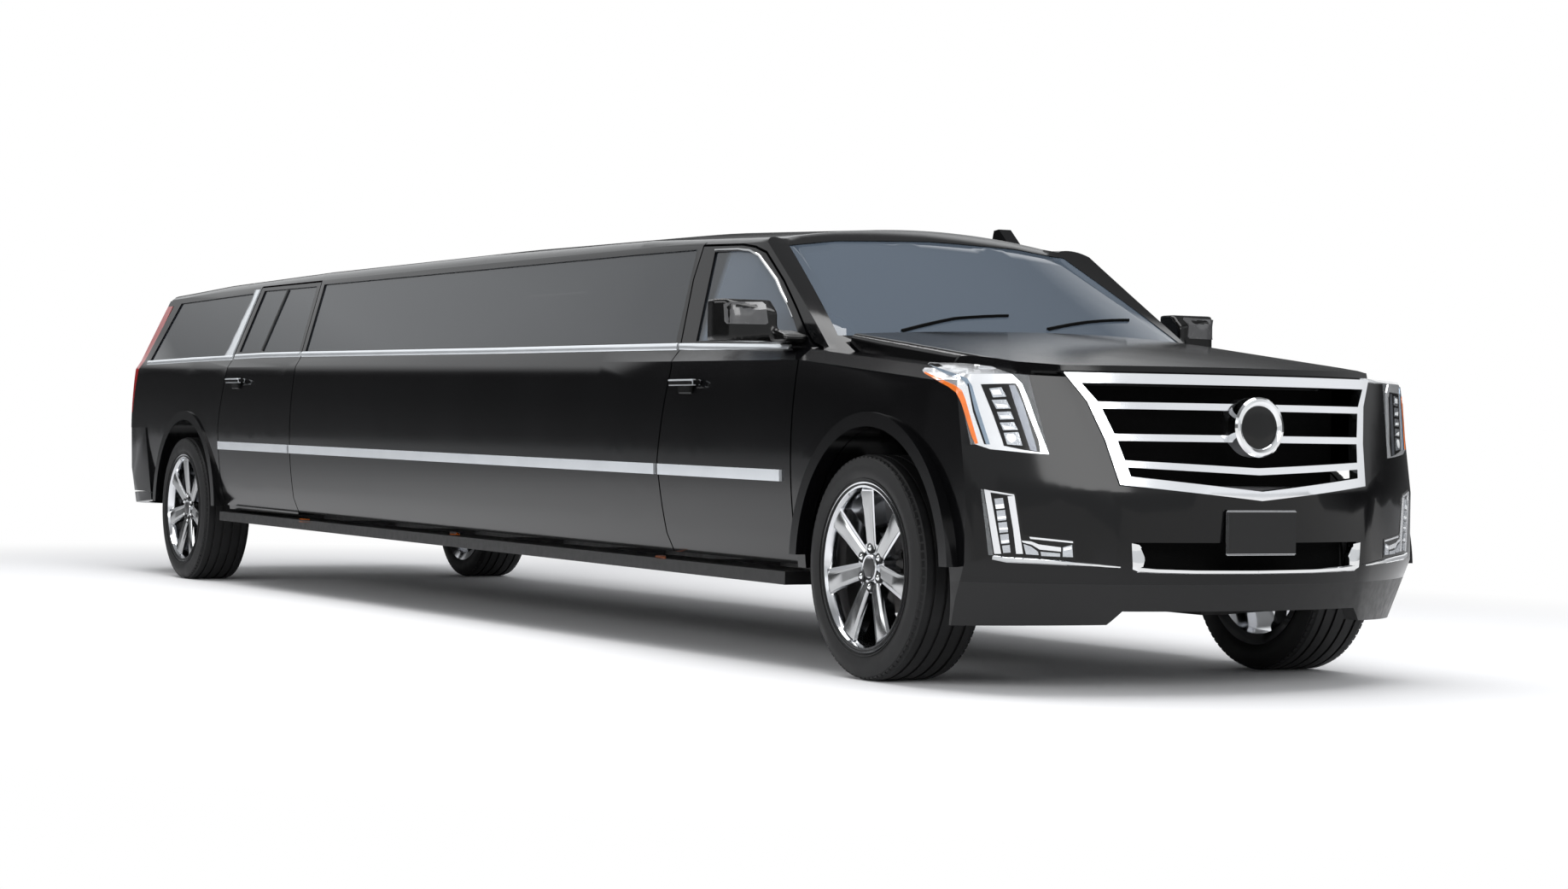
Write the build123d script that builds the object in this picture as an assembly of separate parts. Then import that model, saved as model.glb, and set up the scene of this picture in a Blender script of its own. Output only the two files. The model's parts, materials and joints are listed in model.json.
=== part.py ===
from build123d import *
import math
import os

# Stretch limousine: a full-size sport utility body lengthened between the front
# and rear doors.  Millimetres.  +X is forward, +Y is left, +Z is up.  The origin
# lies on the ground under the middle of the vehicle.
# "front(x)" places a length measured from the front axle, "rear(x)" one measured
# from the rear axle.

# ------------------------------------------------------------------ driving sizes
WHEELBASE = 7874.0
FRONT_OVERHANG = 1028.0
REAR_OVERHANG = 1345.0
FRONT_AXLE_X = (WHEELBASE + REAR_OVERHANG - FRONT_OVERHANG) / 2
REAR_AXLE_X = FRONT_AXLE_X - WHEELBASE

# wheels
TYRE_RADIUS = 407.5
TYRE_WIDTH = 285.0
TYRE_SIDEWALL = 112.0
TRACK = 1744.0
TREAD_GROOVES = (-78.0, -27.0, 27.0, 78.0)
GROOVE_WIDTH = 12.0
GROOVE_DEPTH = 8.0
HUB_BACK_Y = 20.0
HUB_FACE_Y = 100.0
SPOKE_PHASE = 12.0
SPOKE_ROOT_WIDTH = 62.0
SPOKE_TIP_WIDTH = 84.0
LUG_POCKET = 17.0
LUG_RADIUS = 11.0
CAP_RADIUS = 38.0
CAP_HEIGHT = 10.0
KNUCKLE_POST = 26.0
KNUCKLE_REACH = 150.0
ARM_THICKNESS = 30.0
AXLE_TUBE = 46.0
CARRIER_RADIUS = 135.0
WHEEL_Y = TRACK / 2
RIM_LIP = 14.0
SPOKES = 7
LUGS = 6
LUG_CIRCLE = 140.0
HUB_RADIUS = 92.0
DISC_RADIUS = 165.0
DISC_THICKNESS = 28.0
KINGPIN_OFFSET = 60.0
RUNNING_GAP = 0.5

# body section, half width and height, measured at the front door's front edge
SILL_Y, SILL_Z = 955.0, 395.0
LOW_Y, LOW_Z = 985.0, 470.0
WAIST_Y, WAIST_Z = 1013.0, 760.0
SHOULDER_Y, SHOULDER_Z = 985.0, 1165.0
BELT_Y, BELT_Z = 955.0, 1215.0
TUMBLEHOME = 0.36
GLASS_PLANE_Y = 975.0
GLASS_PLANE_Z = 1200.0
BELT_SLOPE = 0.0070
DOOR_THICKNESS = 105.0
FRAME_THICKNESS = 52.0
ROOF_THICKNESS = 42.0
ROOF_TURN_Y = 700.0
ROOF_TURN_DROP = 64.0

# gaps
SEAM = 10.0
SKIN = 18.0
BELOW_SILL = 80.0
DOOR_STEP = 14.0
GLASS_INSET = 7.0
GLASS_THICKNESS = 6.0

# wheel arches
ARCH_RADIUS = 515.0
ARCH_Z = 402.0
ARCH_SHIFT = 35.0
FLARE_WIDTH = 52.0
FLARE_Y = 1022.0
LINER = 10.0
LINER_INNER_Y = 487.0

# front end
HOOD_SIDE_Y = 797.0
HOOD_THICKNESS = 32.0
HOOD_SLOPE = 0.1197
FENDER_SLOPE = 0.085
FENDER_TOP_Z = 1207.0
HOOD_CROWN_Z = 1245.0
HOOD_EDGE_Z = 1215.0
HOOD_BACK = -365.0
HOOD_SWEEP = 200.0
COWL_GAP = 12.0
HOOD_FRONT_Y = 668.0
HOOD_FRONT_Z = 1118.0
BAY_FRONT = 660.0
NOSE_REACH = 2200.0
PANEL = 34.0
LAMP_DEPTH = 75.0
GRILLE_PROUD = 8.0
GRILLE_DEPTH = 34.0
MEDALLION_X = 967.0
MEDALLION_Z = 931.0
MEDALLION_R = 104.0
MEDALLION_DEPTH = 44.0
ANTENNA_OUTLINE = [(-1560, 1660), (-1555, 1715), (-1540, 1762), (-1500, 1766), (-1375, 1660)]
ANTENNA_Y = 500.0
ANTENNA_WIDTH = 60.0
NOSE_WALL = 62.0
COWL_SAG = 228.0
WINDSHIELD_FRAME = 46.0

# rear end
TAIL_REACH = WHEELBASE + 1200.0
TAILGATE_THICKNESS = 80.0
TAILGATE_Y = 800.0
GATE_SEAM = -845.0
BUMPER_TOP_Z = 868.0
REAR_BUMPER_WALL = 60.0
RAIL_SEAM_Z = 1668.0
TAIL_SEAM_Z = 1634.0
SIDE_REACH = 1100.0
SIDE_START = 690.0
LINER_LOW_Z = 640.0

# frame and floor
FLOOR_Z = 486.0
FLOOR_THICKNESS = 26.0
FLOOR_Y = 855.0
REAR_FLOOR_Z = 690.0
RAIL_Y = 400.0
RAIL_WIDTH = 78.0
RAIL_HEIGHT = 120.0
RAIL_Z = 300.0
BOARD_Z = 316.0
BOARD_HEIGHT = 50.0
BOARD_RISE = 40.0
BOARD_INNER_Y = 800.0
BOARD_OUTER_Y = 1000.0
KICK_Z = 520.0
TAIL_RAIL_Z = 460.0
CROSS_PITCH = 1100.0
FLOOR_STEP_X = 700.0
BACK_FLOOR_Y = 480.0
RECEIVER = 63.0
RECEIVER_WALL = 6.2
HITCH_Z = 430.0
PIN_HOLE = 8.0
PIN_SETBACK = 50.0
NOTCH_Y = 150.0
DASH_Y = 800.0

# trim
MOULD_Z = 706.0
MOULD_RISE = 48.0
TRIM_PROUD = 12.0


def front(x):
    """Station measured from the front axle."""
    return FRONT_AXLE_X + x


def rear(x):
    """Station measured from the rear axle."""
    return REAR_AXLE_X + x


# ------------------------------------------------------------------ building helpers
def side_prism(outline, y_low, y_high):
    """Solid between two upright planes along the car from a side view [(x, z)]."""
    face = make_face(Polyline(*[(x, y_low, z) for x, z in outline], close=True))
    return extrude(face, amount=y_high - y_low, dir=(0, 1, 0))


def front_prism(outline, x_low, x_high):
    """Solid between two planes across the car from a front view [(y, z)]."""
    face = make_face(Polyline(*[(x_low, y, z) for y, z in outline], close=True))
    return extrude(face, amount=x_high - x_low, dir=(1, 0, 0))


def plan_prism(outline, z_low, z_high):
    """Solid between two level planes from a plan view [(x, y)]."""
    face = make_face(Polyline(*[(x, y, z_low) for x, y in outline], close=True))
    return extrude(face, amount=z_high - z_low, dir=(0, 0, 1))


def block(x, y, z):
    """Box from three (low, high) pairs."""
    box = Box(x[1] - x[0], y[1] - y[0], z[1] - z[0])
    return Pos((x[0] + x[1]) / 2, (y[0] + y[1]) / 2, (z[0] + z[1]) / 2) * box


def drum(radius, x, z, y_low, y_high):
    """Cylinder that lies across the car."""
    bar = Rot(90, 0, 0) * Cylinder(radius, y_high - y_low)
    return Pos(x, (y_low + y_high) / 2, z) * bar


def post(radius, x, y, z_low, z_high):
    """Upright cylinder."""
    return Pos(x, y, (z_low + z_high) / 2) * Cylinder(radius, z_high - z_low)


def both(shape):
    """The shape with its mirror image across the car's middle plane."""
    return shape + mirror(shape, about=Plane.XZ)


def other_side(shape):
    """Mirror image across the car's middle plane."""
    return mirror(shape, about=Plane.XZ)


def closed_face(edges):
    """Face inside a closed chain of edges."""
    return Face(Wire(edges))


# ------------------------------------------------------------------ cabin envelope
# stations along the cabin: x, roof crown height, height where the glass plane ends,
# and how far the windows are drawn in there
CABIN_STATIONS = [
    (front(-250), 1655.0, 1600.0, 150.0),
    (front(-1250), 1728.0, 1648.0, 44.0),
    (front(-2300), 1766.0, 1664.0, 0.0),
    (front(-4100), 1782.0, 1668.0, 0.0),
    (rear(1674), 1780.0, 1666.0, 0.0),
    (rear(74), 1760.0, 1655.0, 0.0),
    (rear(-1500), 1702.0, 1628.0, 0.0),
]


def fender_top(x):
    """Height of the fender's top face at a station measured from the front axle."""
    return FENDER_TOP_Z - (x + 540) * FENDER_SLOPE


def belt_rise(x):
    """How far the sill, belt and mouldings have climbed at a station."""
    return (front(-540) - x) * BELT_SLOPE


def glass_plane_y(z):
    """Half width of the sloping side glass at a height."""
    return GLASS_PLANE_Y - TUMBLEHOME * (z - GLASS_PLANE_Z)


def cabin_section(x, crown, glass_top, tuck, wall, frame, roof):
    """Cross-section of the cabin, drawn inside the skin by the three thicknesses."""
    rise = belt_rise(x)
    top_z = glass_top
    top_y = glass_plane_y(glass_top) - frame - tuck
    half = [
        (SILL_Y - wall, SILL_Z + rise - (BELOW_SILL if wall else 0)),
        (LOW_Y - wall, LOW_Z + rise),
        (WAIST_Y - wall, WAIST_Z + rise),
        (SHOULDER_Y - wall, SHOULDER_Z + rise),
        (BELT_Y - wall + max(0, wall - frame) * 0.4 - tuck * 0.8, BELT_Z + rise),
        (top_y, top_z - roof * 0.3),
        (ROOF_TURN_Y - frame - tuck, crown - ROOF_TURN_DROP - roof),
    ]
    turn_mid = (
        (half[5][0] + half[6][0]) / 2 + 9,
        (half[5][1] + half[6][1]) / 2 + 14,
    )
    left = [(x, y, z) for y, z in half]
    right = [(x, -y, z) for y, z in half]
    edges = [
        Line(right[0], left[0]),
        Line(left[0], left[1]),
        ThreePointArc(left[1], left[2], left[3]),
        Line(left[3], left[4]),
        Line(left[4], left[5]),
        ThreePointArc(left[5], (x, *turn_mid), left[6]),
        ThreePointArc(left[6], (x, 0, crown - roof), right[6]),
        ThreePointArc(right[6], (x, -turn_mid[0], turn_mid[1]), right[5]),
        Line(right[5], right[4]),
        Line(right[4], right[3]),
        ThreePointArc(right[3], right[2], right[1]),
        Line(right[1], right[0]),
    ]
    return closed_face(edges)


def cabin_loft(wall, frame, roof):
    """Cabin envelope drawn inside the skin by a door, frame and roof thickness."""
    faces = [cabin_section(*row, wall, frame, roof) for row in CABIN_STATIONS]
    return Solid.make_loft([f.outer_wire() for f in faces], True)


# plan outlines of the rear end, measured from the rear axle:
# height, middle, corner start and its half width, side end and its half width
TAIL_LEVELS = [
    (300.0, -1190.0, -1120.0, 800.0, -960.0, 1060.0),
    (1215.0, -1165.0, -1095.0, 800.0, -960.0, 1060.0),
    (1830.0, -862.0, -802.0, 700.0, -662.0, 1000.0),
]
# the same for the nose, measured from the front axle
NOSE_LEVELS = [
    (215.0, 985.0, 880.0, 530.0, 520.0, 965.0),
    (450.0, 1000.0, 925.0, 540.0, 640.0, 975.0),
    (700.0, 1020.0, 915.0, 560.0, 640.0, 975.0),
    (1140.0, 883.0, 752.0, 664.0, 560.0, 975.0),
    (1300.0, 825.0, 690.0, 664.0, 500.0, 975.0),
]


def end_outline(level, origin, direction, reach, inset):
    """Plan outline of a rounded vehicle end at one height."""
    z, middle, corner_x, corner_y, side_x, side_y = level
    shift = -inset * direction
    far = origin + reach
    a = (origin + side_x + shift, side_y - inset, z)
    b = (origin + corner_x + shift, corner_y - inset * 0.4, z)
    c = (origin + middle + shift, 0, z)
    bulge = ((a[0] + b[0]) / 2 + 14 * direction, (a[1] + b[1]) / 2 + 18, z)
    edges = [
        Line((far, a[1] + 200, z), a),
        ThreePointArc(a, bulge, b),
        ThreePointArc(b, c, (b[0], -b[1], z)),
        ThreePointArc((b[0], -b[1], z), (bulge[0], -bulge[1], z), (a[0], -a[1], z)),
        Line((a[0], -a[1], z), (far, -a[1] - 200, z)),
        Line((far, -a[1] - 200, z), (far, a[1] + 200, z)),
    ]
    return closed_face(edges)


def end_loft(levels, origin, direction, reach, inset):
    """Solid behind a rounded vehicle end."""
    faces = [end_outline(row, origin, direction, reach, inset) for row in levels]
    return Solid.make_loft([f.outer_wire() for f in faces], True)


# plan curve of the windshield and its pillars at two heights: height, middle,
# half width and sweep of the glass corner, sweep of the pillar's outer side
WINDSHIELD_LEVELS = [
    (970.0, 180.0, 839.0, 161.0, 576.0),
    (1870.0, -1620.0, 542.0, 67.0, -252.0),
]
PILLAR_OUT_Y = 1000.0


def windshield_section(level, shift_start, shift_end):
    """Level slab section that follows the windshield and its pillars."""
    z, middle, corner_y, corner_sweep, outer_sweep = level
    near = []
    far = []
    for shift, curve in ((shift_start, near), (shift_end, far)):
        x = front(middle) + shift
        curve += [
            (x - outer_sweep, PILLAR_OUT_Y, z),
            (x - corner_sweep, corner_y, z),
            (x, 0, z),
            (x - corner_sweep, -corner_y, z),
            (x - outer_sweep, -PILLAR_OUT_Y, z),
        ]
    edges = [
        Line(near[0], near[1]),
        ThreePointArc(near[1], near[2], near[3]),
        Line(near[3], near[4]),
        Line(near[4], far[4]),
        Line(far[4], far[3]),
        ThreePointArc(far[3], far[2], far[1]),
        Line(far[1], far[0]),
        Line(far[0], near[0]),
    ]
    return Wire(edges)


def windshield_band(shift_start, shift_end):
    """Raked curved slab in front of, at or behind the windshield surface."""
    sections = [windshield_section(row, shift_start, shift_end) for row in WINDSHIELD_LEVELS]
    return Solid.make_loft(sections, True)


def behind_arc(x):
    """Everything behind an upright wall curved like the windshield's foot."""
    y = 1000.0
    sag = COWL_SAG
    edges = [
        ThreePointArc((x - sag, y, 0), (x, 0, 0), (x - sag, -y, 0)),
        Line((x - sag, -y, 0), (x - 2000, -y, 0)),
        Line((x - 2000, -y, 0), (x - 2000, y, 0)),
        Line((x - 2000, y, 0), (x - sag, y, 0)),
    ]
    return extrude(closed_face(edges), amount=2000, dir=(0, 0, 1))


cabin_outer = cabin_loft(0, 0, 0)
cabin_inner = cabin_loft(DOOR_THICKNESS, FRAME_THICKNESS, ROOF_THICKNESS)
cabin_skin = cabin_loft(SKIN, SKIN, SKIN)
tail_outer = end_loft(TAIL_LEVELS, REAR_AXLE_X, -1, TAIL_REACH, 0)
tail_inner = end_loft(TAIL_LEVELS, REAR_AXLE_X, -1, TAIL_REACH, TAILGATE_THICKNESS)
ahead_of_windshield = windshield_band(0, 2600)
cabin_body = (cabin_outer & tail_outer) - ahead_of_windshield
cabin_room = (cabin_inner & tail_inner) - windshield_band(-WINDSHIELD_FRAME, 2600)


def cabin_panel(zone):
    """Part of the cabin wall inside a zone."""
    return (cabin_body & zone) - cabin_room


pane_outer = cabin_loft(GLASS_INSET, GLASS_INSET, GLASS_INSET)
PANE_BACK = GLASS_INSET + GLASS_THICKNESS
pane_inner = cabin_loft(PANE_BACK, PANE_BACK, PANE_BACK)

# ------------------------------------------------------------------ side outlines
# (x, z) outlines; lower corners follow the sill, upper ones the roof rail
UNDER_SILL = SILL_Z - 60
FRONT_DOOR = [
    (front(-540), UNDER_SILL),
    (front(-540), 1207),
    (front(-650), 1238),
    (front(-717), 1277),
    (front(-845), 1375),
    (front(-1000), 1488),
    (front(-1195), 1610),
    (front(-1290), 1636),
    (front(-1400), 1650),
    (front(-1732), 1660),
    (front(-1728), 1513),
    (front(-1655), 1240),
    (front(-1612), 1150),
    (front(-1684), 770),
    (front(-1618), UNDER_SILL),
]
FRONT_DOOR_GLASS = [
    (front(-765), 1258),
    (front(-847), 1330),
    (front(-1063), 1490),
    (front(-1242), 1588),
    (front(-1330), 1612),
    (front(-1430), 1620),
    (front(-1616), 1624),
    (front(-1530), 1254),
]
LONG_GLASS = [
    (front(-1698), 1252),
    (front(-1776), 1640),
    (rear(1768), 1644),
    (rear(1840), 1284),
]
REAR_DOOR = [
    (rear(1812), UNDER_SILL),
    (rear(1812), 1240),
    (rear(1794), 1284),
    (rear(1716), 1668),
    (rear(758), 1668),
    (rear(694), 1215),
    (rear(622), 880),
    (rear(645), UNDER_SILL),
]
REAR_DOOR_GLASS = [
    (rear(1747), 1290),
    (rear(1660), 1638),
    (rear(820), 1640),
    (rear(770), 1298),
]
QUARTER_GLASS = [
    (rear(545), 1272),
    (rear(668), 1632),
    (rear(-640), 1612),
    (rear(-830), 1266),
]
DOOR_BOTTOM_STEP = 26.0


def outline_prism(outline, shrink=0.0):
    """Left-hand prism of a side outline, drawn in by an even gap."""
    face = make_face(Polyline(*[(x, z) for x, z in outline], close=True))
    if shrink:
        face = offset(face, amount=-shrink, kind=Kind.INTERSECTION)
    upright = Plane(origin=(0, SIDE_START, 0), x_dir=(1, 0, 0), z_dir=(0, -1, 0))
    return extrude(upright * face, amount=SIDE_REACH - SIDE_START, dir=(0, 1, 0))


def door_panel(outline, glass):
    """Hollow-framed door: a skin flange around a narrower inner box."""
    skin = (cabin_outer & outline_prism(outline, SEAM)) - cabin_skin
    inner = (cabin_skin & outline_prism(outline, SEAM + DOOR_STEP)) - cabin_inner
    inner = inner - block((-6000, 6000), (0, SIDE_REACH), (0, SILL_Z + DOOR_BOTTOM_STEP))
    return skin + inner - outline_prism(glass)


def side_glass(outline):
    """Pane that fills a window cut just inside the skin."""
    return (pane_outer & outline_prism(outline)) - pane_inner


# ------------------------------------------------------------------ cabin panels
door_front_left = door_panel(FRONT_DOOR, FRONT_DOOR_GLASS)
door_rear_left = door_panel(REAR_DOOR, REAR_DOOR_GLASS)
glass_front_left = side_glass(FRONT_DOOR_GLASS)
glass_rear_left = side_glass(REAR_DOOR_GLASS)
fixed_glass_left = side_glass(LONG_GLASS) + side_glass(QUARTER_GLASS)

STRETCH_PANEL = [
    (front(-1618), UNDER_SILL),
    (front(-1684), 770),
    (front(-1612), 1150),
    (front(-1655), 1240),
    (front(-1728), 1513),
    (front(-1732), RAIL_SEAM_Z),
    (rear(1716), RAIL_SEAM_Z),
    (rear(1794), 1284),
    (rear(1812), 1240),
    (rear(1812), UNDER_SILL),
]
QUARTER_PANEL = [
    (rear(645), UNDER_SILL),
    (rear(622), 880),
    (rear(694), 1215),
    (rear(758), RAIL_SEAM_Z),
    (rear(74), RAIL_SEAM_Z),
    (rear(GATE_SEAM), TAIL_SEAM_Z),
    (rear(-1400), TAIL_SEAM_Z - 21),
    (rear(-1400), BUMPER_TOP_Z),
    (rear(-700), BUMPER_TOP_Z),
    (rear(-560), UNDER_SILL),
]
stretch_panel_left = cabin_panel(outline_prism(STRETCH_PANEL)) - outline_prism(LONG_GLASS)
rear_arch = drum(ARCH_RADIUS, rear(ARCH_SHIFT), ARCH_Z, 300, SIDE_REACH)
gate_half = block((rear(-1600), rear(GATE_SEAM)), (0, TAILGATE_Y), (0, 3000))
quarter_left = cabin_panel(outline_prism(QUARTER_PANEL)) - outline_prism(QUARTER_GLASS)
quarter_left = quarter_left - rear_arch - gate_half


def arch_flare(axle_x):
    """Lip around a wheel arch that stands proud of the body side."""
    x = axle_x + ARCH_SHIFT
    ring = drum(ARCH_RADIUS + FLARE_WIDTH, x, ARCH_Z, FLARE_Y - 60, FLARE_Y)
    ring = ring - drum(ARCH_RADIUS, x, ARCH_Z, 0, SIDE_REACH)
    return ring & block((x - 700, x + 700), (0, SIDE_REACH), (SILL_Z + 40, 1500))


def arch_liner(axle_x, low_z):
    """Inner lining over a wheel, with its inner wall."""
    x = axle_x + ARCH_SHIFT
    tunnel = drum(ARCH_RADIUS + LINER, x, ARCH_Z, LINER_INNER_Y, BELT_Y)
    tunnel = tunnel - drum(ARCH_RADIUS, x, ARCH_Z, LINER_INNER_Y + LINER, SIDE_REACH)
    return tunnel & block((x - 700, x + 700), (0, SIDE_REACH), (low_z, 1500))


quarter_left = quarter_left + arch_flare(REAR_AXLE_X) + (
    arch_liner(REAR_AXLE_X, LINER_LOW_Z) & cabin_outer
)

# ------------------------------------------------------------------ roof and windshield
windshield_opening = front_prism(
    [
        (800, 1262),
        (655, 1640),
        (430, 1668),
        (0, 1682),
        (-430, 1668),
        (-655, 1640),
        (-800, 1262),
    ],
    front(-1700),
    front(200),
)
ROOF_LEFT = [
    (front(-100), fender_top(-100)),
    (front(-540), fender_top(-540)),
    (front(-650), 1238),
    (front(-717), 1277),
    (front(-845), 1375),
    (front(-1000), 1488),
    (front(-1195), 1610),
    (front(-1290), 1636),
    (front(-1400), 1650),
    (front(-1724), 1660),
    (front(-1724), RAIL_SEAM_Z),
    (rear(74), RAIL_SEAM_Z),
    (rear(GATE_SEAM), TAIL_SEAM_Z),
    (rear(GATE_SEAM), 2000),
    (front(-100), 2000),
]
roof_zone = side_prism(ROOF_LEFT, -SIDE_REACH, SIDE_REACH)
over_hood = block(
    (front(HOOD_BACK - HOOD_SWEEP), front(0)), (-HOOD_SIDE_Y, HOOD_SIDE_Y), (0, 2000)
)
over_hood = over_hood - behind_arc(front(HOOD_BACK - COWL_GAP))
roof = cabin_panel(roof_zone) - windshield_opening - over_hood
windshield = windshield_band(-2600, -GLASS_INSET) & windshield_opening
windshield = windshield - windshield_band(-2600, -PANE_BACK)
antenna_side = [(front(x), z) for x, z in ANTENNA_OUTLINE]
antenna = side_prism(antenna_side, ANTENNA_Y, ANTENNA_Y + ANTENNA_WIDTH)
roof = roof + (antenna - cabin_body)

# ------------------------------------------------------------------ tailgate
tailgate_zone = block(
    (rear(-1600), rear(-600)),
    (-TAILGATE_Y + SEAM, TAILGATE_Y - SEAM),
    (BUMPER_TOP_Z + SEAM, 2000),
)
tailgate_whole = (cabin_body & tailgate_zone) - cabin_room
tailgate_whole = tailgate_whole - block((rear(GATE_SEAM - SEAM), 0), (-1100, 1100), (0, 3000))
rear_window = front_prism(
    [(700, 1290), (600, 1600), (-600, 1600), (-700, 1290)], rear(-1500), rear(-500)
)
tailgate = tailgate_whole - rear_window
tail_pane = end_loft(TAIL_LEVELS, REAR_AXLE_X, -1, TAIL_REACH, GLASS_INSET)
tail_pane = tail_pane - end_loft(TAIL_LEVELS, REAR_AXLE_X, -1, TAIL_REACH, PANE_BACK)
tailgate_glass = tail_pane & rear_window

# ------------------------------------------------------------------ front end
nose_outer = end_loft(NOSE_LEVELS, FRONT_AXLE_X, 1, -NOSE_REACH, 0)
nose_inner = end_loft(NOSE_LEVELS, FRONT_AXLE_X, 1, -NOSE_REACH, NOSE_WALL)


def front_section(x, inset):
    """Cross-section of the fenders and bay, drawn inside the skin."""
    drop = (front(-540) - x) * FENDER_SLOPE
    low = 180 if inset == 0 else 100
    half = [
        (SILL_Y - inset, low),
        (LOW_Y - inset, LOW_Z),
        (WAIST_Y - inset, WAIST_Z),
        (SHOULDER_Y - inset, SHOULDER_Z + drop - inset),
        (SHOULDER_Y - 50 - inset, FENDER_TOP_Z + drop - inset),
    ]
    left = [(x, y, z) for y, z in half]
    right = [(x, -y, z) for y, z in half]
    edges = [
        Line(right[0], left[0]),
        Line(left[0], left[1]),
        ThreePointArc(left[1], left[2], left[3]),
        Line(left[3], left[4]),
        Line(left[4], right[4]),
        Line(right[4], right[3]),
        ThreePointArc(right[3], right[2], right[1]),
        Line(right[1], right[0]),
    ]
    return closed_face(edges)


def front_loft(inset):
    """Front body envelope ahead of the doors, drawn inside the skin."""
    ends = [front_section(front(x), inset) for x in (-540, 1100)]
    return Solid.make_loft([f.outer_wire() for f in ends], True)


def hood_section(x, inset):
    """Cross-section of the raised hood, drawn inside its skin."""
    ahead = x - front(0)
    edge_z = HOOD_EDGE_Z - ahead * HOOD_SLOPE * 0.92
    crown_z = HOOD_CROWN_Z - ahead * HOOD_SLOPE
    low_z = FENDER_TOP_Z + (front(-540) - x) * FENDER_SLOPE - PANEL
    low_z = low_z - (60 if inset else 0)
    y = HOOD_SIDE_Y - SEAM - inset
    half = [(y, low_z), (y - 4, edge_z - 26 - inset), (y - 34, edge_z - inset)]
    left = [(x, a, z) for a, z in half]
    right = [(x, -a, z) for a, z in half]
    edges = [
        Line(right[0], left[0]),
        Line(left[0], left[1]),
        ThreePointArc(left[1], (x, y - 12, edge_z - 7 - inset), left[2]),
        ThreePointArc(left[2], (x, 0, crown_z - inset), right[2]),
        ThreePointArc(right[2], (x, 12 - y, edge_z - 7 - inset), right[1]),
        Line(right[1], right[0]),
    ]
    return closed_face(edges)


def hood_loft(inset):
    """Hood envelope drawn inside its skin."""
    ends = [hood_section(front(x), inset) for x in (HOOD_BACK - HOOD_SWEEP, 1000)]
    return Solid.make_loft([f.outer_wire() for f in ends], True)


def hood_plan(grow):
    """Plan outline of the hood, grown by a gap."""
    half = [
        (front(HOOD_BACK - HOOD_SWEEP) - grow, HOOD_SIDE_Y - SEAM + grow),
        (front(200), HOOD_SIDE_Y - SEAM + grow),
        (front(600), HOOD_SIDE_Y - 48 + grow),
        (front(740), HOOD_FRONT_Y + grow),
        (front(1100), HOOD_FRONT_Y + grow),
    ]
    return half + [(x, -y) for x, y in reversed(half)]


front_body = front_loft(0) & nose_outer
front_room = front_loft(PANEL) & nose_inner
bay_open = plan_prism(hood_plan(SEAM), 950, 1500) & block(
    (front(-540), front(BAY_FRONT)), (-1100, 1100), (0, 2000)
)
hood_clear = plan_prism(hood_plan(SEAM), HOOD_FRONT_Z - SEAM, 1500)
cowl_gap = block(
    (front(-540), front(HOOD_BACK)), (-HOOD_SIDE_Y, HOOD_SIDE_Y), (0, 2000)
)
front_shell = front_body - front_room - bay_open - hood_clear - cowl_gap
hood_solid = hood_loft(0) & nose_outer & plan_prism(hood_plan(0), HOOD_FRONT_Z, 1500)
hood_solid = hood_solid + (
    (hood_loft(0) & plan_prism(hood_plan(0), 900, 1500))
    & block((front(HOOD_BACK - HOOD_SWEEP), front(BAY_FRONT) - SEAM), (-1100, 1100), (0, 2000))
)
hood_hollow = hood_loft(HOOD_THICKNESS) & block(
    (front(-900), front(BAY_FRONT) - SEAM - HOOD_THICKNESS), (-1100, 1100), (0, 2000)
)
hood = hood_solid - hood_hollow - behind_arc(front(HOOD_BACK))

grille_opening = front_prism(
    [
        (664, 1112),
        (600, 1013),
        (558, 880),
        (530, 728),
        (0, 676),
        (-530, 728),
        (-558, 880),
        (-600, 1013),
        (-664, 1112),
    ],
    front(600),
    front(1200),
)
lamp_opening = front_prism(
    [(1100, 1300), (1100, 858), (940, 858), (735, 829), (800, 1300)], front(300), front(1200)
)
lamp_opening = lamp_opening & side_prism(
    [
        (front(350), 1300),
        (front(350), 1125),
        (front(585), 1040),
        (front(640), 830),
        (front(1200), 700),
        (front(1200), 1300),
    ],
    0,
    1100,
)
fog_opening = front_prism(
    [(935, 706), (912, 480), (700, 474), (700, 534), (822, 545), (872, 694)],
    front(500),
    front(1200),
)
lower_opening = front_prism(
    [(480, 530), (468, 436), (-468, 436), (-480, 530)], front(600), front(1200)
)
bumper_zone = front_prism(
    [
        (1100, 862),
        (800, 850),
        (735, 817),
        (535, 724),
        (0, 724),
        (-535, 724),
        (-735, 817),
        (-800, 850),
        (-1100, 862),
        (-1100, 0),
        (1100, 0),
    ],
    front(380),
    front(1200),
)
front_arch = drum(ARCH_RADIUS, front(ARCH_SHIFT), ARCH_Z, 300, SIDE_REACH)
skirt_zone = front_prism(
    [
        (1100, 385),
        (-1100, 385),
        (-1100, 225),
        (-545, 245),
        (-500, 292),
        (500, 292),
        (545, 245),
        (1100, 225),
    ],
    front(380),
    front(1200),
)
above_ground_edge = block((front(-600), front(1200)), (-1100, 1100), (385, 2000))
front_cut = front_shell - both(front_arch) - both(lamp_opening) - grille_opening
front_bumper = (front_cut & bumper_zone & above_ground_edge) - both(fog_opening) - lower_opening
front_skirt = front_cut & skirt_zone
fender_both = (front_cut - bumper_zone) & above_ground_edge
left_half = block((-6000, 6000), (0, 1100), (0, 2500))
fender_left = fender_both & left_half
flare = arch_flare(FRONT_AXLE_X)
flare = flare - both(lamp_opening)
liner = (arch_liner(FRONT_AXLE_X, LINER_LOW_Z) & front_loft(PANEL)) - bumper_zone
fender_left = fender_left + (flare - bumper_zone - skirt_zone) + liner
front_bumper = front_bumper + (both(flare) & bumper_zone & above_ground_edge)

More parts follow.
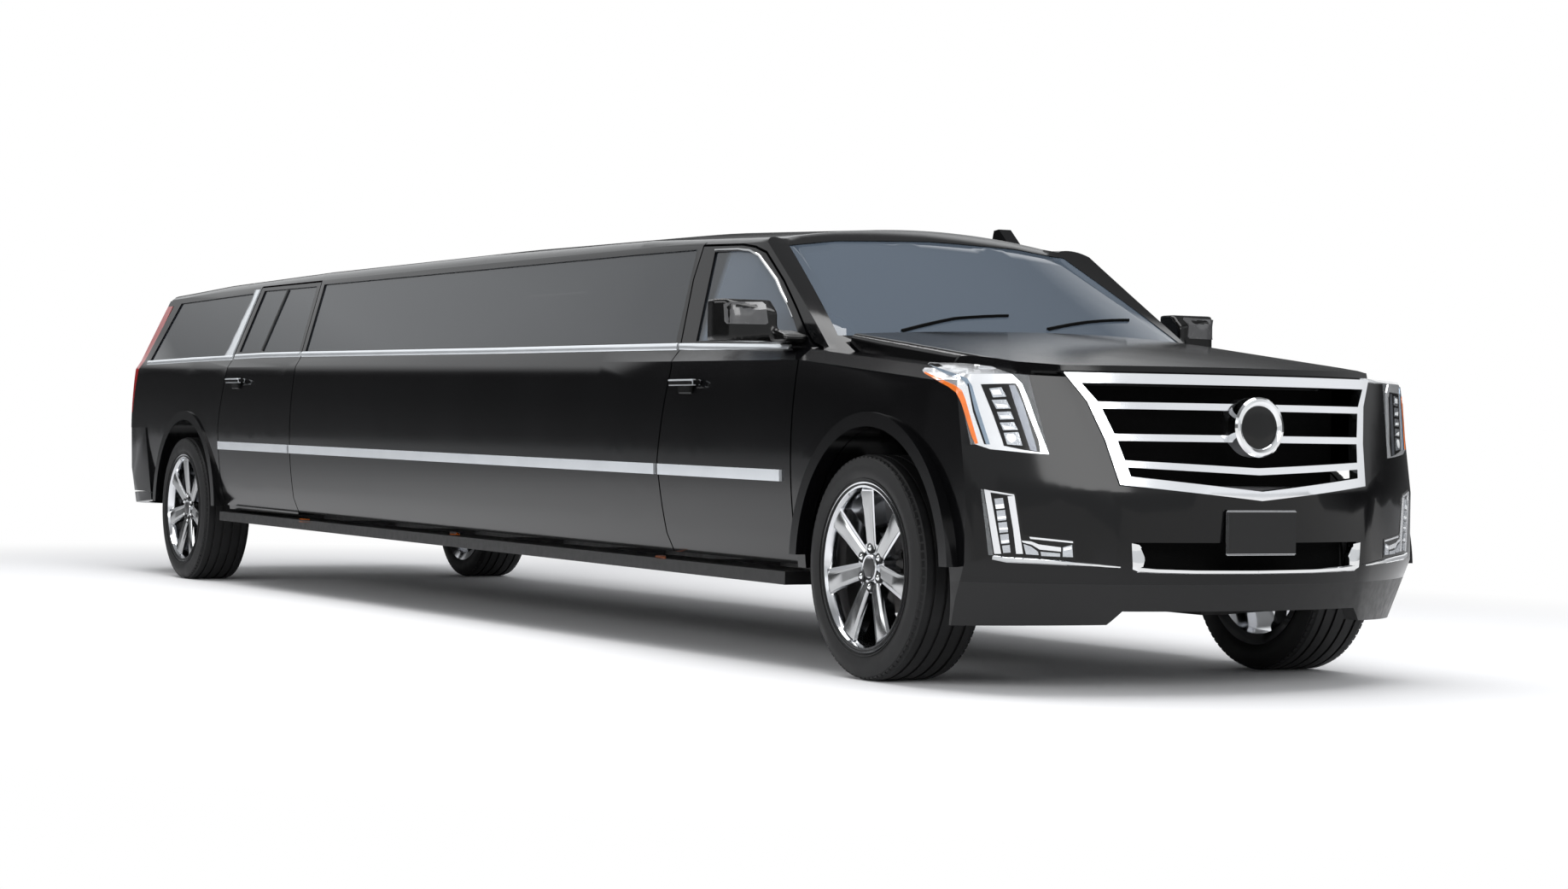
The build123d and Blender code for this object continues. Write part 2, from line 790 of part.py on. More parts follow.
headlamp_back = end_loft(NOSE_LEVELS, FRONT_AXLE_X, 1, -NOSE_REACH, LAMP_DEPTH)
headlamp_back = headlamp_back & front_loft(PANEL)
headlamp = (front_body & lamp_opening) - headlamp_back
fog_lamp = (front_body & fog_opening) - headlamp_back

# ------------------------------------------------------------------ grille
def across(half):
    """Front prism that is the same on both sides, from its left half [(y, z)]."""
    mirrored = [(-y, z) for y, z in reversed(half) if y]
    return front_prism(half + mirrored, front(600), front(1200))


GRILLE_BARS = [
    # half width, upper edge, bar height, drop at the middle
    (680.0, 1112.5, 36.0, 0.0),
    (640.0, 1012.0, 24.0, 0.0),
    (600.0, 902.0, 24.0, 0.0),
    (580.0, 815.0, 24.0, 26.0),
]
GRILLE_HOLE = [(0, 1090), (622, 1090), (560, 1005), (518, 880), (490, 756), (0, 708)]
grille_form = grille_opening - across(GRILLE_HOLE)
for width, upper, height, drop in GRILLE_BARS:
    bar = across(
        [(0, upper - drop), (width, upper), (width, upper - height), (0, upper - height - drop)]
    )
    grille_form = grille_form + (bar & grille_opening)
grille_form = grille_form + Pos(front(900), 0, MEDALLION_Z) * (
    Rot(0, 90, 0) * Cylinder(MEDALLION_R - 6, 600)
)
grille_face = end_loft(NOSE_LEVELS, FRONT_AXLE_X, 1, -NOSE_REACH, -GRILLE_PROUD)
grille_back = end_loft(NOSE_LEVELS, FRONT_AXLE_X, 1, -NOSE_REACH, GRILLE_DEPTH)
grille_solid = (grille_form & grille_face) - grille_back
medallion = Pos(front(MEDALLION_X), 0, MEDALLION_Z) * (
    Rot(0, 90, 0) * Cylinder(MEDALLION_R, MEDALLION_DEPTH)
)
grille = grille_solid + medallion
radiator = block(
    (front(560), front(600)), (-560, 560), (420, 1060)
)

# ------------------------------------------------------------------ rear bumper and lamps
REAR_BUMPER_LEVELS = [
    (400.0, -1260.0, -1190.0, 800.0, -900.0, 1005.0),
    (629.0, -1345.0, -1275.0, 800.0, -960.0, 1020.0),
    (868.0, -1330.0, -1260.0, 800.0, -975.0, 1020.0),
]
bumper_outer = end_loft(REAR_BUMPER_LEVELS, REAR_AXLE_X, -1, 1500, 0)
bumper_inner = end_loft(REAR_BUMPER_LEVELS, REAR_AXLE_X, -1, 1500, REAR_BUMPER_WALL)
bumper_side = side_prism(
    [
        (rear(-1500), 420),
        (rear(-1500), BUMPER_TOP_Z),
        (rear(-700), BUMPER_TOP_Z),
        (rear(-560), 440),
        (rear(-1250), 400),
    ],
    -1100,
    1100,
)
width_cut = block((-6000, 6000), (-FLARE_Y + 2, FLARE_Y - 2), (0, 2500))
rear_bumper = (bumper_outer - bumper_inner) & bumper_side & width_cut
step_zone = block((rear(-1500), rear(-1000)), (-1100, 1100), (BUMPER_TOP_Z - 30, BUMPER_TOP_Z))
rear_bumper = rear_bumper + ((bumper_outer & step_zone & width_cut) - tail_inner)
receiver_notch = block(
    (rear(-1500), rear(-1000)), (-NOTCH_Y, NOTCH_Y), (300, HITCH_Z + 60)
)
valance_seam = block(
    (rear(-1500), rear(-400)), (-1100, 1100), (HITCH_Z + 60 - SEAM, HITCH_Z + 60)
)
rear_bumper = rear_bumper - both(rear_arch) - both(quarter_left) - receiver_notch - valance_seam
tail_lamp_zone = side_prism(
    [
        (rear(-1400), 960),
        (rear(-1400), 1600),
        (rear(-770), 1600),
        (rear(-960), 1215),
        (rear(-985), 960),
    ],
    TAILGATE_Y,
    1100,
)
corner_layer = cabin_body - end_loft(TAIL_LEVELS, REAR_AXLE_X, -1, TAIL_REACH, LAMP_DEPTH)
tail_lamp = corner_layer & tail_lamp_zone
quarter_left = quarter_left - tail_lamp_zone

# ------------------------------------------------------------------ wheels
def tyre_solid():
    """Tyre around the Y axis with circumferential grooves."""
    inner = TYRE_RADIUS - TYRE_SIDEWALL
    half = TYRE_WIDTH / 2
    outline = [
        (inner, -half + 26),
        (inner + 22, -half + 8),
        (TYRE_RADIUS - 52, -half),
        (TYRE_RADIUS - 14, -half + 10),
        (TYRE_RADIUS, -half + 32),
    ]
    for y in TREAD_GROOVES:
        outline += [
            (TYRE_RADIUS, y - GROOVE_WIDTH / 2),
            (TYRE_RADIUS - GROOVE_DEPTH, y - GROOVE_WIDTH / 2),
            (TYRE_RADIUS - GROOVE_DEPTH, y + GROOVE_WIDTH / 2),
            (TYRE_RADIUS, y + GROOVE_WIDTH / 2),
        ]
    outline += [
        (TYRE_RADIUS, half - 32),
        (TYRE_RADIUS - 14, half - 10),
        (TYRE_RADIUS - 52, half),
        (inner + 22, half - 8),
        (inner, half - 26),
    ]
    face = make_face(Polyline(*[(r, y, 0) for r, y in outline], close=True))
    return revolve(face, axis=Axis.Y)


def rim_solid():
    """Seven-spoke rim around the Y axis, its face toward +Y."""
    bead = TYRE_RADIUS - TYRE_SIDEWALL
    half = TYRE_WIDTH / 2 - 26
    barrel = [
        (bead, -half),
        (bead, half),
        (bead + RIM_LIP, half + RIM_LIP * 18 / 22),
        (bead + RIM_LIP, half + 18),
        (bead - 6, half + 16),
        (bead - 18, half - 6),
        (bead - 26, 0),
        (bead - 26, -half - 4),
        (bead + RIM_LIP, -half - 18),
        (bead + RIM_LIP, -half - RIM_LIP * 18 / 22),
    ]
    rim = revolve(make_face(Polyline(*[(r, y, 0) for r, y in barrel], close=True)), axis=Axis.Y)
    hub_face = HUB_FACE_Y
    rim = rim + drum(HUB_RADIUS, 0, 0, HUB_BACK_Y, hub_face)
    spoke_root = HUB_RADIUS - 20
    spoke_tip = bead - 14
    for index in range(SPOKES):
        angle = 360 / SPOKES * index + SPOKE_PHASE
        plan = [
            (spoke_root, -SPOKE_ROOT_WIDTH / 2),
            (spoke_tip, -SPOKE_TIP_WIDTH / 2),
            (spoke_tip, SPOKE_TIP_WIDTH / 2),
            (spoke_root, SPOKE_ROOT_WIDTH / 2),
        ]
        side = [
            (spoke_root, HUB_BACK_Y + 20),
            (spoke_root, hub_face),
            (spoke_tip, half + 6),
            (spoke_tip, half - 34),
        ]
        flat = make_face(Polyline(*[(r, 0, w) for r, w in plan], close=True))
        spoke = extrude(flat, amount=TYRE_WIDTH, dir=(0, 1, 0))
        face = make_face(Polyline(*[(r, y, -200) for r, y in side], close=True))
        spoke = spoke & extrude(face, amount=400, dir=(0, 0, 1))
        rim = rim + Rot(0, angle, 0) * spoke
    for index in range(LUGS):
        angle = math.radians(360 / LUGS * index + 30)
        x = LUG_CIRCLE / 2 * math.cos(angle)
        z = LUG_CIRCLE / 2 * math.sin(angle)
        rim = rim - drum(LUG_POCKET, x, z, hub_face - 22, hub_face + 5)
        rim = rim + drum(LUG_RADIUS, x, z, hub_face - 22.5, hub_face - 2)
    cap = drum(CAP_RADIUS, 0, 0, hub_face - 1, hub_face + CAP_HEIGHT)
    return rim + cap


tyre = tyre_solid()
rim = rim_solid()


def wheel_place(shape, axle_x, side):
    """Wheel piece moved to its corner; the face always looks outward."""
    turned = shape if side > 0 else Rot(0, 0, 180) * shape
    return Pos(axle_x, side * WHEEL_Y, TYRE_RADIUS) * turned


# ------------------------------------------------------------------ steering and axles
HUB_SEAT_Y = WHEEL_Y + HUB_BACK_Y - RUNNING_GAP
KINGPIN_Y = WHEEL_Y - KINGPIN_OFFSET
disc_y = (HUB_SEAT_Y - 14 - DISC_THICKNESS, HUB_SEAT_Y - 14)


def brake(axle_x):
    """Left brake disc with its hub flange and caliper."""
    disc = drum(DISC_RADIUS, axle_x, TYRE_RADIUS, *disc_y)
    flange = drum(HUB_RADIUS - 14, axle_x, TYRE_RADIUS, disc_y[1] - 1, HUB_SEAT_Y)
    caliper = drum(DISC_RADIUS + 24, axle_x, TYRE_RADIUS, disc_y[0] - 26, disc_y[1] + 12)
    caliper = caliper - drum(DISC_RADIUS - 44, axle_x, TYRE_RADIUS, 0, SIDE_REACH)
    zone = block(
        (axle_x - 260, axle_x - 40), (0, 1000), (TYRE_RADIUS - 75, TYRE_RADIUS + 75)
    )
    return disc + flange + (caliper & zone)


knuckle_left = brake(FRONT_AXLE_X)
knuckle_left = knuckle_left + post(
    KNUCKLE_POST, FRONT_AXLE_X, KINGPIN_Y - 18, TYRE_RADIUS - KNUCKLE_REACH, TYRE_RADIUS + KNUCKLE_REACH
)
knuckle_left = knuckle_left + drum(44, FRONT_AXLE_X, TYRE_RADIUS, KINGPIN_Y - 46, disc_y[0] + 1)


def control_arm(z, thickness):
    """Left suspension arm from the frame rail to the kingpin."""
    outline = [
        (front(-170), RAIL_Y + RAIL_WIDTH / 2),
        (front(-170), RAIL_Y + RAIL_WIDTH / 2 + 40),
        (front(-30), KINGPIN_Y - 40),
        (front(-30), KINGPIN_Y + 12),
        (front(30), KINGPIN_Y + 12),
        (front(30), KINGPIN_Y - 40),
        (front(170), RAIL_Y + RAIL_WIDTH / 2 + 40),
        (front(170), RAIL_Y + RAIL_WIDTH / 2),
        (front(110), RAIL_Y + RAIL_WIDTH / 2),
        (front(0), KINGPIN_Y - 90),
        (front(-110), RAIL_Y + RAIL_WIDTH / 2),
    ]
    return plan_prism(outline, z, z + thickness)


ARM_LOW_Z = TYRE_RADIUS - KNUCKLE_REACH - ARM_THICKNESS - 1
ARM_HIGH_Z = TYRE_RADIUS + KNUCKLE_REACH + 1
arms_left = control_arm(ARM_LOW_Z, ARM_THICKNESS) + control_arm(ARM_HIGH_Z, ARM_THICKNESS)
tower = block(
    (front(-180), front(180)),
    (RAIL_Y - RAIL_WIDTH / 2, RAIL_Y + RAIL_WIDTH / 2),
    (ARM_LOW_Z, ARM_HIGH_Z + ARM_THICKNESS),
)
rail_side = [
    (front(600), RAIL_Z),
    (front(600), RAIL_Z + RAIL_HEIGHT),
    (rear(640), RAIL_Z + RAIL_HEIGHT),
    (rear(420), KICK_Z + RAIL_HEIGHT),
    (rear(-420), KICK_Z + RAIL_HEIGHT),
    (rear(-620), TAIL_RAIL_Z + RAIL_HEIGHT),
    (rear(-1130), TAIL_RAIL_Z + RAIL_HEIGHT),
    (rear(-1130), TAIL_RAIL_Z),
    (rear(-600), TAIL_RAIL_Z),
    (rear(-400), KICK_Z),
    (rear(400), KICK_Z),
    (rear(600), RAIL_Z),
]


def board_rise(x):
    """How far the running board has climbed at a station."""
    return BOARD_RISE * (front(-600) - x) / (front(-600) - rear(640))


rail = side_prism(rail_side, RAIL_Y - RAIL_WIDTH / 2, RAIL_Y + RAIL_WIDTH / 2)
chassis = both(rail + tower + arms_left)
cross_x = [front(560), front(-620)]
count = max(2, round((front(-620) - rear(760)) / CROSS_PITCH))
step = (front(-620) - rear(760)) / count
cross_x += [front(-620) - step * index for index in range(1, count + 1)]
for x in cross_x:
    chassis = chassis + block((x - 35, x + 35), (-RAIL_Y, RAIL_Y), (RAIL_Z + 20, RAIL_Z + 95))
for x in cross_x[1:]:
    low = BOARD_Z + board_rise(x)
    outrigger = block((x - 30, x + 30), (RAIL_Y, BOARD_INNER_Y), (low + 8, low + 42))
    chassis = chassis + both(outrigger)
for x in (rear(-700), rear(-1140)):
    chassis = chassis + block((x - 35, x + 35), (-RAIL_Y, RAIL_Y), (TAIL_RAIL_Z + 20, TAIL_RAIL_Z + 95))
receiver = block(
    (rear(-1290), rear(-1140)), (-RECEIVER / 2, RECEIVER / 2), (HITCH_Z - RECEIVER / 2, HITCH_Z + RECEIVER / 2)
)
hole = (RECEIVER - 2 * RECEIVER_WALL) / 2
receiver = receiver - block((rear(-1300), rear(-1150)), (-hole, hole), (HITCH_Z - hole, HITCH_Z + hole))
receiver = receiver - drum(PIN_HOLE, rear(-1290 + PIN_SETBACK), HITCH_Z, -60, 60)
hanger = block((rear(-1175), rear(-1105)), (-45, 45), (HITCH_Z - 20, TAIL_RAIL_Z + 60))
chassis = chassis + (hanger - block((rear(-1300), rear(-1150)), (-hole, hole), (HITCH_Z - hole, HITCH_Z + hole))) + receiver

axle_tube = drum(AXLE_TUBE, REAR_AXLE_X, TYRE_RADIUS, 0, disc_y[0] + 1)
carrier = Pos(REAR_AXLE_X, 0, TYRE_RADIUS) * Sphere(CARRIER_RADIUS)
perch = block(
    (REAR_AXLE_X - 50, REAR_AXLE_X + 50),
    (RAIL_Y - 35, RAIL_Y + 35),
    (TYRE_RADIUS + AXLE_TUBE - 12, KICK_Z),
)
rear_axle = both(axle_tube + brake(REAR_AXLE_X) + perch) + carrier

# ------------------------------------------------------------------ underbody
floor_x = (rear(FLOOR_STEP_X), front(-515))
floor_pan = block(floor_x, (-FLOOR_Y, FLOOR_Y), (FLOOR_Z - FLOOR_THICKNESS, FLOOR_Z))
back_floor = block(
    (rear(-1100), rear(FLOOR_STEP_X)), (-BACK_FLOOR_Y, BACK_FLOOR_Y), (REAR_FLOOR_Z - FLOOR_THICKNESS, REAR_FLOOR_Z)
)
riser = block(
    (rear(FLOOR_STEP_X) - FLOOR_THICKNESS, rear(FLOOR_STEP_X)),
    (-BACK_FLOOR_Y, BACK_FLOOR_Y),
    (FLOOR_Z - FLOOR_THICKNESS, REAR_FLOOR_Z),
)
floor_pan = floor_pan + back_floor + riser
body_mount = block((-30, 30), (RAIL_Y - 30, RAIL_Y + 30), (RAIL_Z + RAIL_HEIGHT, FLOOR_Z - FLOOR_THICKNESS))
for x in cross_x[1:]:
    floor_pan = floor_pan + both(Pos(x, 0, 0) * body_mount)
back_mount = block(
    (rear(-1000), rear(-940)), (RAIL_Y - 30, RAIL_Y + 30), (TAIL_RAIL_Z + RAIL_HEIGHT, REAR_FLOOR_Z - FLOOR_THICKNESS)
)
floor_pan = floor_pan + both(back_mount)
long_tie = block(
    (rear(1812 + 10), front(-1700)), (FLOOR_Y - 1, LOW_Y), (FLOOR_Z - FLOOR_THICKNESS, FLOOR_Z)
) & cabin_loft(DOOR_THICKNESS, FRAME_THICKNESS, ROOF_THICKNESS)
floor_pan = floor_pan + both(long_tie)

running_board = side_prism(
    [
        (front(-600), BOARD_Z),
        (front(-600), BOARD_Z + BOARD_HEIGHT),
        (rear(640), BOARD_Z + BOARD_HEIGHT + BOARD_RISE),
        (rear(640), BOARD_Z + BOARD_RISE),
    ],
    BOARD_INNER_Y,
    BOARD_OUTER_Y,
)

cowl_beam = side_prism(
    [
        (front(-545), FLOOR_Z),
        (front(-545), 1300),
        (front(HOOD_BACK - COWL_GAP), 1300),
        (front(HOOD_BACK - COWL_GAP), 1130),
        (front(HOOD_BACK - 60), 1100),
        (front(-515), 1060),
        (front(-515), FLOOR_Z),
    ],
    -1000,
    1000,
)
engine = block((front(-430), front(330)), (-290, 290), (RAIL_Z + RAIL_HEIGHT + 5, 1020))

# ------------------------------------------------------------------ interior
def seat(x, y, width, base_z):
    """Single seat that faces forward."""
    outline = [
        (x + 250, base_z),
        (x + 260, base_z + 300),
        (x - 190, base_z + 270),
        (x - 330, base_z + 790),
        (x - 430, base_z + 780),
        (x - 330, base_z + 200),
        (x - 250, base_z),
    ]
    return side_prism(outline, y - width / 2, y + width / 2)


seats = both(seat(front(-1330), 420, 520, FLOOR_Z))
seats = seats + seat(rear(1060), 0, 1360, FLOOR_Z)
sofa = block((rear(2050), front(-2350)), (-760, -330), (FLOOR_Z, FLOOR_Z + 390))
sofa_back = block((rear(2050), front(-2350)), (-820, -680), (FLOOR_Z, FLOOR_Z + 760))
seats = seats + sofa + sofa_back

dash = side_prism(
    [
        (front(-545), 760),
        (front(-545), 1190),
        (front(-760), 1175),
        (front(-840), 1060),
        (front(-800), 800),
    ],
    -DASH_Y,
    DASH_Y,
)
wheel_ring = Pos(front(-985), 420, 1085) * (Rot(0, 115, 0) * Torus(185, 16))
wheel_hub = Pos(front(-985), 420, 1085) * (Rot(0, 115, 0) * Cylinder(55, 30))
wheel_bar = Pos(front(-985), 420, 1085) * (Rot(0, 115, 0) * Box(30, 360, 16))
column_length = 260
column = Pos(front(-985), 420, 1085) * (Rot(0, 115, 0) * (Pos(0, 0, column_length / 2) * Cylinder(28, column_length)))
dash = dash + wheel_ring + wheel_hub + wheel_bar + column
console = block((front(-1500), front(-830)), (-130, 130), (FLOOR_Z, FLOOR_Z + 260))
dashboard = dash + console

# ------------------------------------------------------------------ mirrors and trim
mirror_plan = [
    (front(-790), 940),
    (front(-830), 1130),
    (front(-900), 1168),
    (front(-985), 1150),
    (front(-940), 940),
]
mirror_profile = [
    (front(-770), 1262),
    (front(-790), 1350),
    (front(-850), 1400),
    (front(-985), 1400),
    (front(-1000), 1236),
    (front(-820), 1240),
]
mirror_housing = plan_prism(mirror_plan, 1200, 1450) & side_prism(mirror_profile, 900, 1200)
mirror_arm = side_prism(
    [
        (front(-700), 1236),
        (front(-700), 1262),
        (front(-800), 1285),
        (front(-880), 1262),
        (front(-880), 1236),
    ],
    820,
    960,
)
mirror_left = (mirror_housing + mirror_arm) - cabin_outer

moulding_zone = side_prism(
    [
        (front(-610), MOULD_Z),
        (front(-610), MOULD_Z + 44),
        (rear(640), MOULD_Z + 44 + MOULD_RISE),
        (rear(640), MOULD_Z + MOULD_RISE),
    ],
    900,
    1100,
)
proud = cabin_loft(-TRIM_PROUD, -TRIM_PROUD, 0)


def moulding(x_back, x_front):
    """Left lower moulding between two stations."""
    zone = block((x_back, x_front), (0, 1100), (0, 2000))
    return (proud & moulding_zone & zone) - cabin_outer


moulding_front = moulding(front(-1655), front(-615))
moulding_rear = moulding(rear(655), rear(1795))
moulding_long = moulding(rear(1820), front(-1690))


def handle(x, z):
    """Left pull handle with its two feet."""
    bar = block((x - 105, x + 105), (1020, 1034), (z - 13, z + 13))
    feet = block((x - 100, x - 70), (960, 1022), (z - 11, z + 11))
    feet = feet + block((x + 70, x + 100), (960, 1022), (z - 11, z + 11))
    return (bar + feet) - cabin_outer


handle_front = handle(front(-1433), 1085)
handle_rear = handle(rear(919), 1135)

# ------------------------------------------------------------------ write the pieces
cowl = (cowl_beam & front_loft(0) & behind_arc(front(HOOD_BACK - COWL_GAP))) - both(fender_left)
nodes = {
    "floor_pan": floor_pan,
    "chassis_frame": chassis,
    "rear_axle": rear_axle,
    "engine": engine + radiator,
    "cowl": cowl,
    "roof": roof,
    "stretch_panels": both(stretch_panel_left),
    "quarter_panels": both(quarter_left),
    "fixed_glass": both(fixed_glass_left) + windshield,
    "fenders": both(fender_left),
    "front_bumper": front_bumper,
    "front_skirt": front_skirt,
    "grille": grille,
    "headlamps": both(headlamp),
    "fog_lamps": both(fog_lamp),
    "tail_lamps": both(tail_lamp),
    "rear_bumper": rear_bumper,
    "running_boards": both(running_board),
    "side_mouldings": both(moulding_long),
    "seats": seats,
    "dashboard": dashboard,
    "hood": hood,
    "tailgate": tailgate,
    "tailgate_glass": tailgate_glass,
}
for side, name in ((1, "left"), (-1, "right")):
    place = other_side if side < 0 else lambda shape: shape
    nodes["door_front_" + name] = place(door_front_left)
    nodes["door_rear_" + name] = place(door_rear_left)
    nodes["glass_front_" + name] = place(glass_front_left)
    nodes["glass_rear_" + name] = place(glass_rear_left)
    nodes["trim_front_" + name] = place(moulding_front + handle_front)
    nodes["trim_rear_" + name] = place(moulding_rear + handle_rear)
    nodes["mirror_" + name] = place(mirror_left)
    nodes["knuckle_" + name] = place(knuckle_left)
    for axle, x in (("front", FRONT_AXLE_X), ("rear", REAR_AXLE_X)):
        nodes["tyre_" + axle + "_" + name] = wheel_place(tyre, x, side)
        nodes["rim_" + axle + "_" + name] = wheel_place(rim, x, side)

os.makedirs("parts", exist_ok=True)
for name, shape in nodes.items():
    export_step(shape, "parts/" + name + ".step")
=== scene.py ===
"""Dresses the stretch limousine: paint, glass, chrome, wheels, lamps, trim and cabin."""
import json
import logging
import math
from dataclasses import dataclass, field
from enum import Enum
from typing import Iterable, Sequence

import bmesh
import bpy
from mathutils import Matrix, Vector
from mathutils.bvhtree import BVHTree


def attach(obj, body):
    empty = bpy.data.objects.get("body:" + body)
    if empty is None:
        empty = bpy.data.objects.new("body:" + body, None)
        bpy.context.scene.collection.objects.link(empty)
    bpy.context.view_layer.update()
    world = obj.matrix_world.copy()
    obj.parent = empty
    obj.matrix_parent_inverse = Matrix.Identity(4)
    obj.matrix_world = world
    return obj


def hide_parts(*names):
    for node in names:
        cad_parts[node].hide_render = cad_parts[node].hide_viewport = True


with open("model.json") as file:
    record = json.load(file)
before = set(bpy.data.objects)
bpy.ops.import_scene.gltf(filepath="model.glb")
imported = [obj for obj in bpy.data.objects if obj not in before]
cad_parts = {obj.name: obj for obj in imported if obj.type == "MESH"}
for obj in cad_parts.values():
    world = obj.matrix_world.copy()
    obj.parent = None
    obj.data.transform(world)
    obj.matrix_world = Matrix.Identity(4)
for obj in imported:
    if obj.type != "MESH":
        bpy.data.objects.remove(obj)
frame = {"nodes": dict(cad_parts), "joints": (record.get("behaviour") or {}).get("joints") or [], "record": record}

log = logging.getLogger("limousine")
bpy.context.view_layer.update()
JOINTS = {joint["name"]: joint for joint in frame["joints"]}
FRONT_AXLE = Vector(JOINTS["spin_front_left"]["pos_m"])
REAR_AXLE = Vector(JOINTS["spin_rear_left"]["pos_m"])


def front(x: float) -> float:
    """Station measured from the front axle, in metres."""
    return FRONT_AXLE.x + x


def rear(x: float) -> float:
    """Station measured from the rear axle, in metres."""
    return REAR_AXLE.x + x


# --------------------------------------------------------------------------- materials
class NodeTree:
    """Thin helper around a node tree."""

    def __init__(self, tree: bpy.types.NodeTree) -> None:
        """Wraps a tree.

        Args:
            tree: the tree of a material, of a world or of a node group.
        """
        self.nodes = tree.nodes
        self.links = tree.links

    def add(self, kind: str, **values: object) -> bpy.types.Node:
        """Adds a node and sets its properties or inputs.

        Args:
            kind: node type identifier.
            values: property names, or input names with spaces as underscores.

        Returns:
            The new node.
        """
        node = self.nodes.new(kind)
        for key, value in values.items():
            if hasattr(node, key):
                setattr(node, key, value)
            else:
                node.inputs[key.replace("_", " ")].default_value = value
        return node

    def link(self, source: bpy.types.Node, out: str | int, target: bpy.types.Node,
             into: str | int) -> None:
        """Joins one node's output to another's input."""
        self.links.new(source.outputs[out], target.inputs[into])

    def chain(self, *rows: tuple[bpy.types.Node, str | int, bpy.types.Node, str | int]) -> None:
        """Makes several links.

        Args:
            rows: source, its output, target and its input.
        """
        for row in rows:
            self.link(*row)


class MaterialTree(NodeTree):
    """Node tree of a new material."""

    def __init__(self, name: str) -> None:
        """Starts an empty material.

        Args:
            name: material name.
        """
        self.material = bpy.data.materials.new(name)
        self.material.use_nodes = True
        super().__init__(self.material.node_tree)
        self.shader = self.nodes["Principled BSDF"]
        self.output = self.nodes["Material Output"]

    def coords(self) -> bpy.types.Node:
        """Object coordinates."""
        return self.add("ShaderNodeTexCoord")

    def noise(self, scale: float, detail: float = 4.0, rough: float = 0.5) -> bpy.types.Node:
        """Noise on object coordinates.

        Args:
            scale: noise scale per metre.
            detail: octaves.
            rough: how strong the fine octaves are.

        Returns:
            The noise node.
        """
        noise = self.add("ShaderNodeTexNoise", Scale=scale, Detail=detail, Roughness=rough)
        self.link(self.coords(), "Object", noise, "Vector")
        return noise

    def ramp(self, source: bpy.types.Node, out: str, low: float, high: float,
             dark: Sequence[float], light: Sequence[float]) -> bpy.types.Node:
        """Colour ramp between two colours.

        Args:
            source: node that drives the ramp.
            out: its output.
            low: position of the dark stop.
            high: position of the light stop.
            dark: colour at the low stop.
            light: colour at the high stop.

        Returns:
            The ramp node.
        """
        ramp = self.add("ShaderNodeValToRGB")
        for stop, place, color in zip(ramp.color_ramp.elements, (low, high), (dark, light)):
            stop.position = place
            stop.color = (*color, 1)
        self.link(source, out, ramp, "Fac")
        return ramp

    def bump(self, source: bpy.types.Node, out: str, distance: float, strength: float) -> None:
        """Bump from a height.

        Args:
            source: node with the height.
            out: its output.
            distance: height in metres.
            strength: share of the effect.
        """
        bump = self.add("ShaderNodeBump", Distance=distance, Strength=strength)
        self.link(source, out, bump, "Height")
        self.link(bump, "Normal", self.shader, "Normal")

    def roughness(self, source: bpy.types.Node, out: str, low: float, high: float) -> None:
        """Varies the roughness with a texture.

        Args:
            source: node that drives it.
            out: its output.
            low: least roughness.
            high: most roughness.
        """
        spread = self.add("ShaderNodeMapRange", From_Min=0.3, From_Max=0.7, To_Min=low, To_Max=high)
        self.link(source, out, spread, "Value")
        self.link(spread, "Result", self.shader, "Roughness")


COAT_ROUGHNESS = 0.02
TINT_AND_REFLECTION_BLEND = 0.02


@dataclass(frozen=True)
class Finish:
    """One surface finish with fine variation.

    Attributes:
        name: material name.
        color: base colour.
        metallic: 1 for bare metal.
        rough: lowest and highest roughness.
        grain: noise scale of the variation, per metre.
        tint: how much lighter the colour gets in random patches; on the glass, how much lighter it is ahead of its
            station.
        relief: bump height in metres.
        relief_scale: noise scale of the bump, per metre.
        coat: clear coat weight.
        alpha: opacity.
        ior: index of refraction.
        sheen: fabric sheen.
        specular: level of the base gloss.
        tint_and_reflection_from: station ahead of which the glass takes the lighter colour, partly a lighter tint
            and partly a painted reflection of the sky.
    """

    name: str
    color: tuple[float, float, float]
    metallic: float = 0.0
    rough: tuple[float, float] = (0.4, 0.5)
    grain: float = 30.0
    tint: float = 1.15
    relief: float = 0.0
    relief_scale: float = 800.0
    coat: float = 0.0
    alpha: float = 1.0
    ior: float = 1.5
    sheen: float = 0.0
    specular: float = 0.5
    tint_and_reflection_from: float | None = None

    @property
    def light(self) -> tuple[float, ...]:
        """The lighter of the finish's two colours."""
        return tuple(min(1.0, c * self.tint) for c in self.color)

    def tint_and_reflection_by_station(self, tree: MaterialTree) -> None:
        """Takes the lighter colour ahead of a station, partly a painted reflection, and varies the gloss.

        Args:
            tree: the material's tree.
        """
        split = tree.add("ShaderNodeSeparateXYZ")
        tree.link(tree.coords(), "Object", split, "Vector")
        span = tree.add("ShaderNodeMapRange", From_Min=self.tint_and_reflection_from - TINT_AND_REFLECTION_BLEND,
                        From_Max=self.tint_and_reflection_from + TINT_AND_REFLECTION_BLEND)
        tree.link(split, "X", span, "Value")
        ramp = tree.ramp(span, "Result", 0.0, 1.0, self.color, self.light)
        tree.link(ramp, "Color", tree.shader, "Base Color")
        tree.roughness(tree.noise(self.grain), "Fac", *self.rough)

    def make(self) -> bpy.types.Material:
        """Builds the material.

        Returns:
            The Blender material.
        """
        tree = MaterialTree(self.name)
        shader = tree.shader
        for socket, value in (
                ("Metallic", self.metallic), ("IOR", self.ior), ("Coat Weight", self.coat),
                ("Coat Roughness", COAT_ROUGHNESS), ("Sheen Weight", self.sheen),
                ("Alpha", self.alpha), ("Specular IOR Level", self.specular)):
            shader.inputs[socket].default_value = value
        if self.tint_and_reflection_from is not None:
            self.tint_and_reflection_by_station(tree)
            return tree.material
        patches = tree.noise(self.grain)
        ramp = tree.ramp(patches, "Fac", 0.35, 0.65, self.color, self.light)
        tree.link(ramp, "Color", shader, "Base Color")
        tree.roughness(patches, "Fac", *self.rough)
        if self.relief:
            fine = tree.noise(self.relief_scale, 3.0)
            tree.bump(fine, "Fac", self.relief, 0.6)
        return tree.material


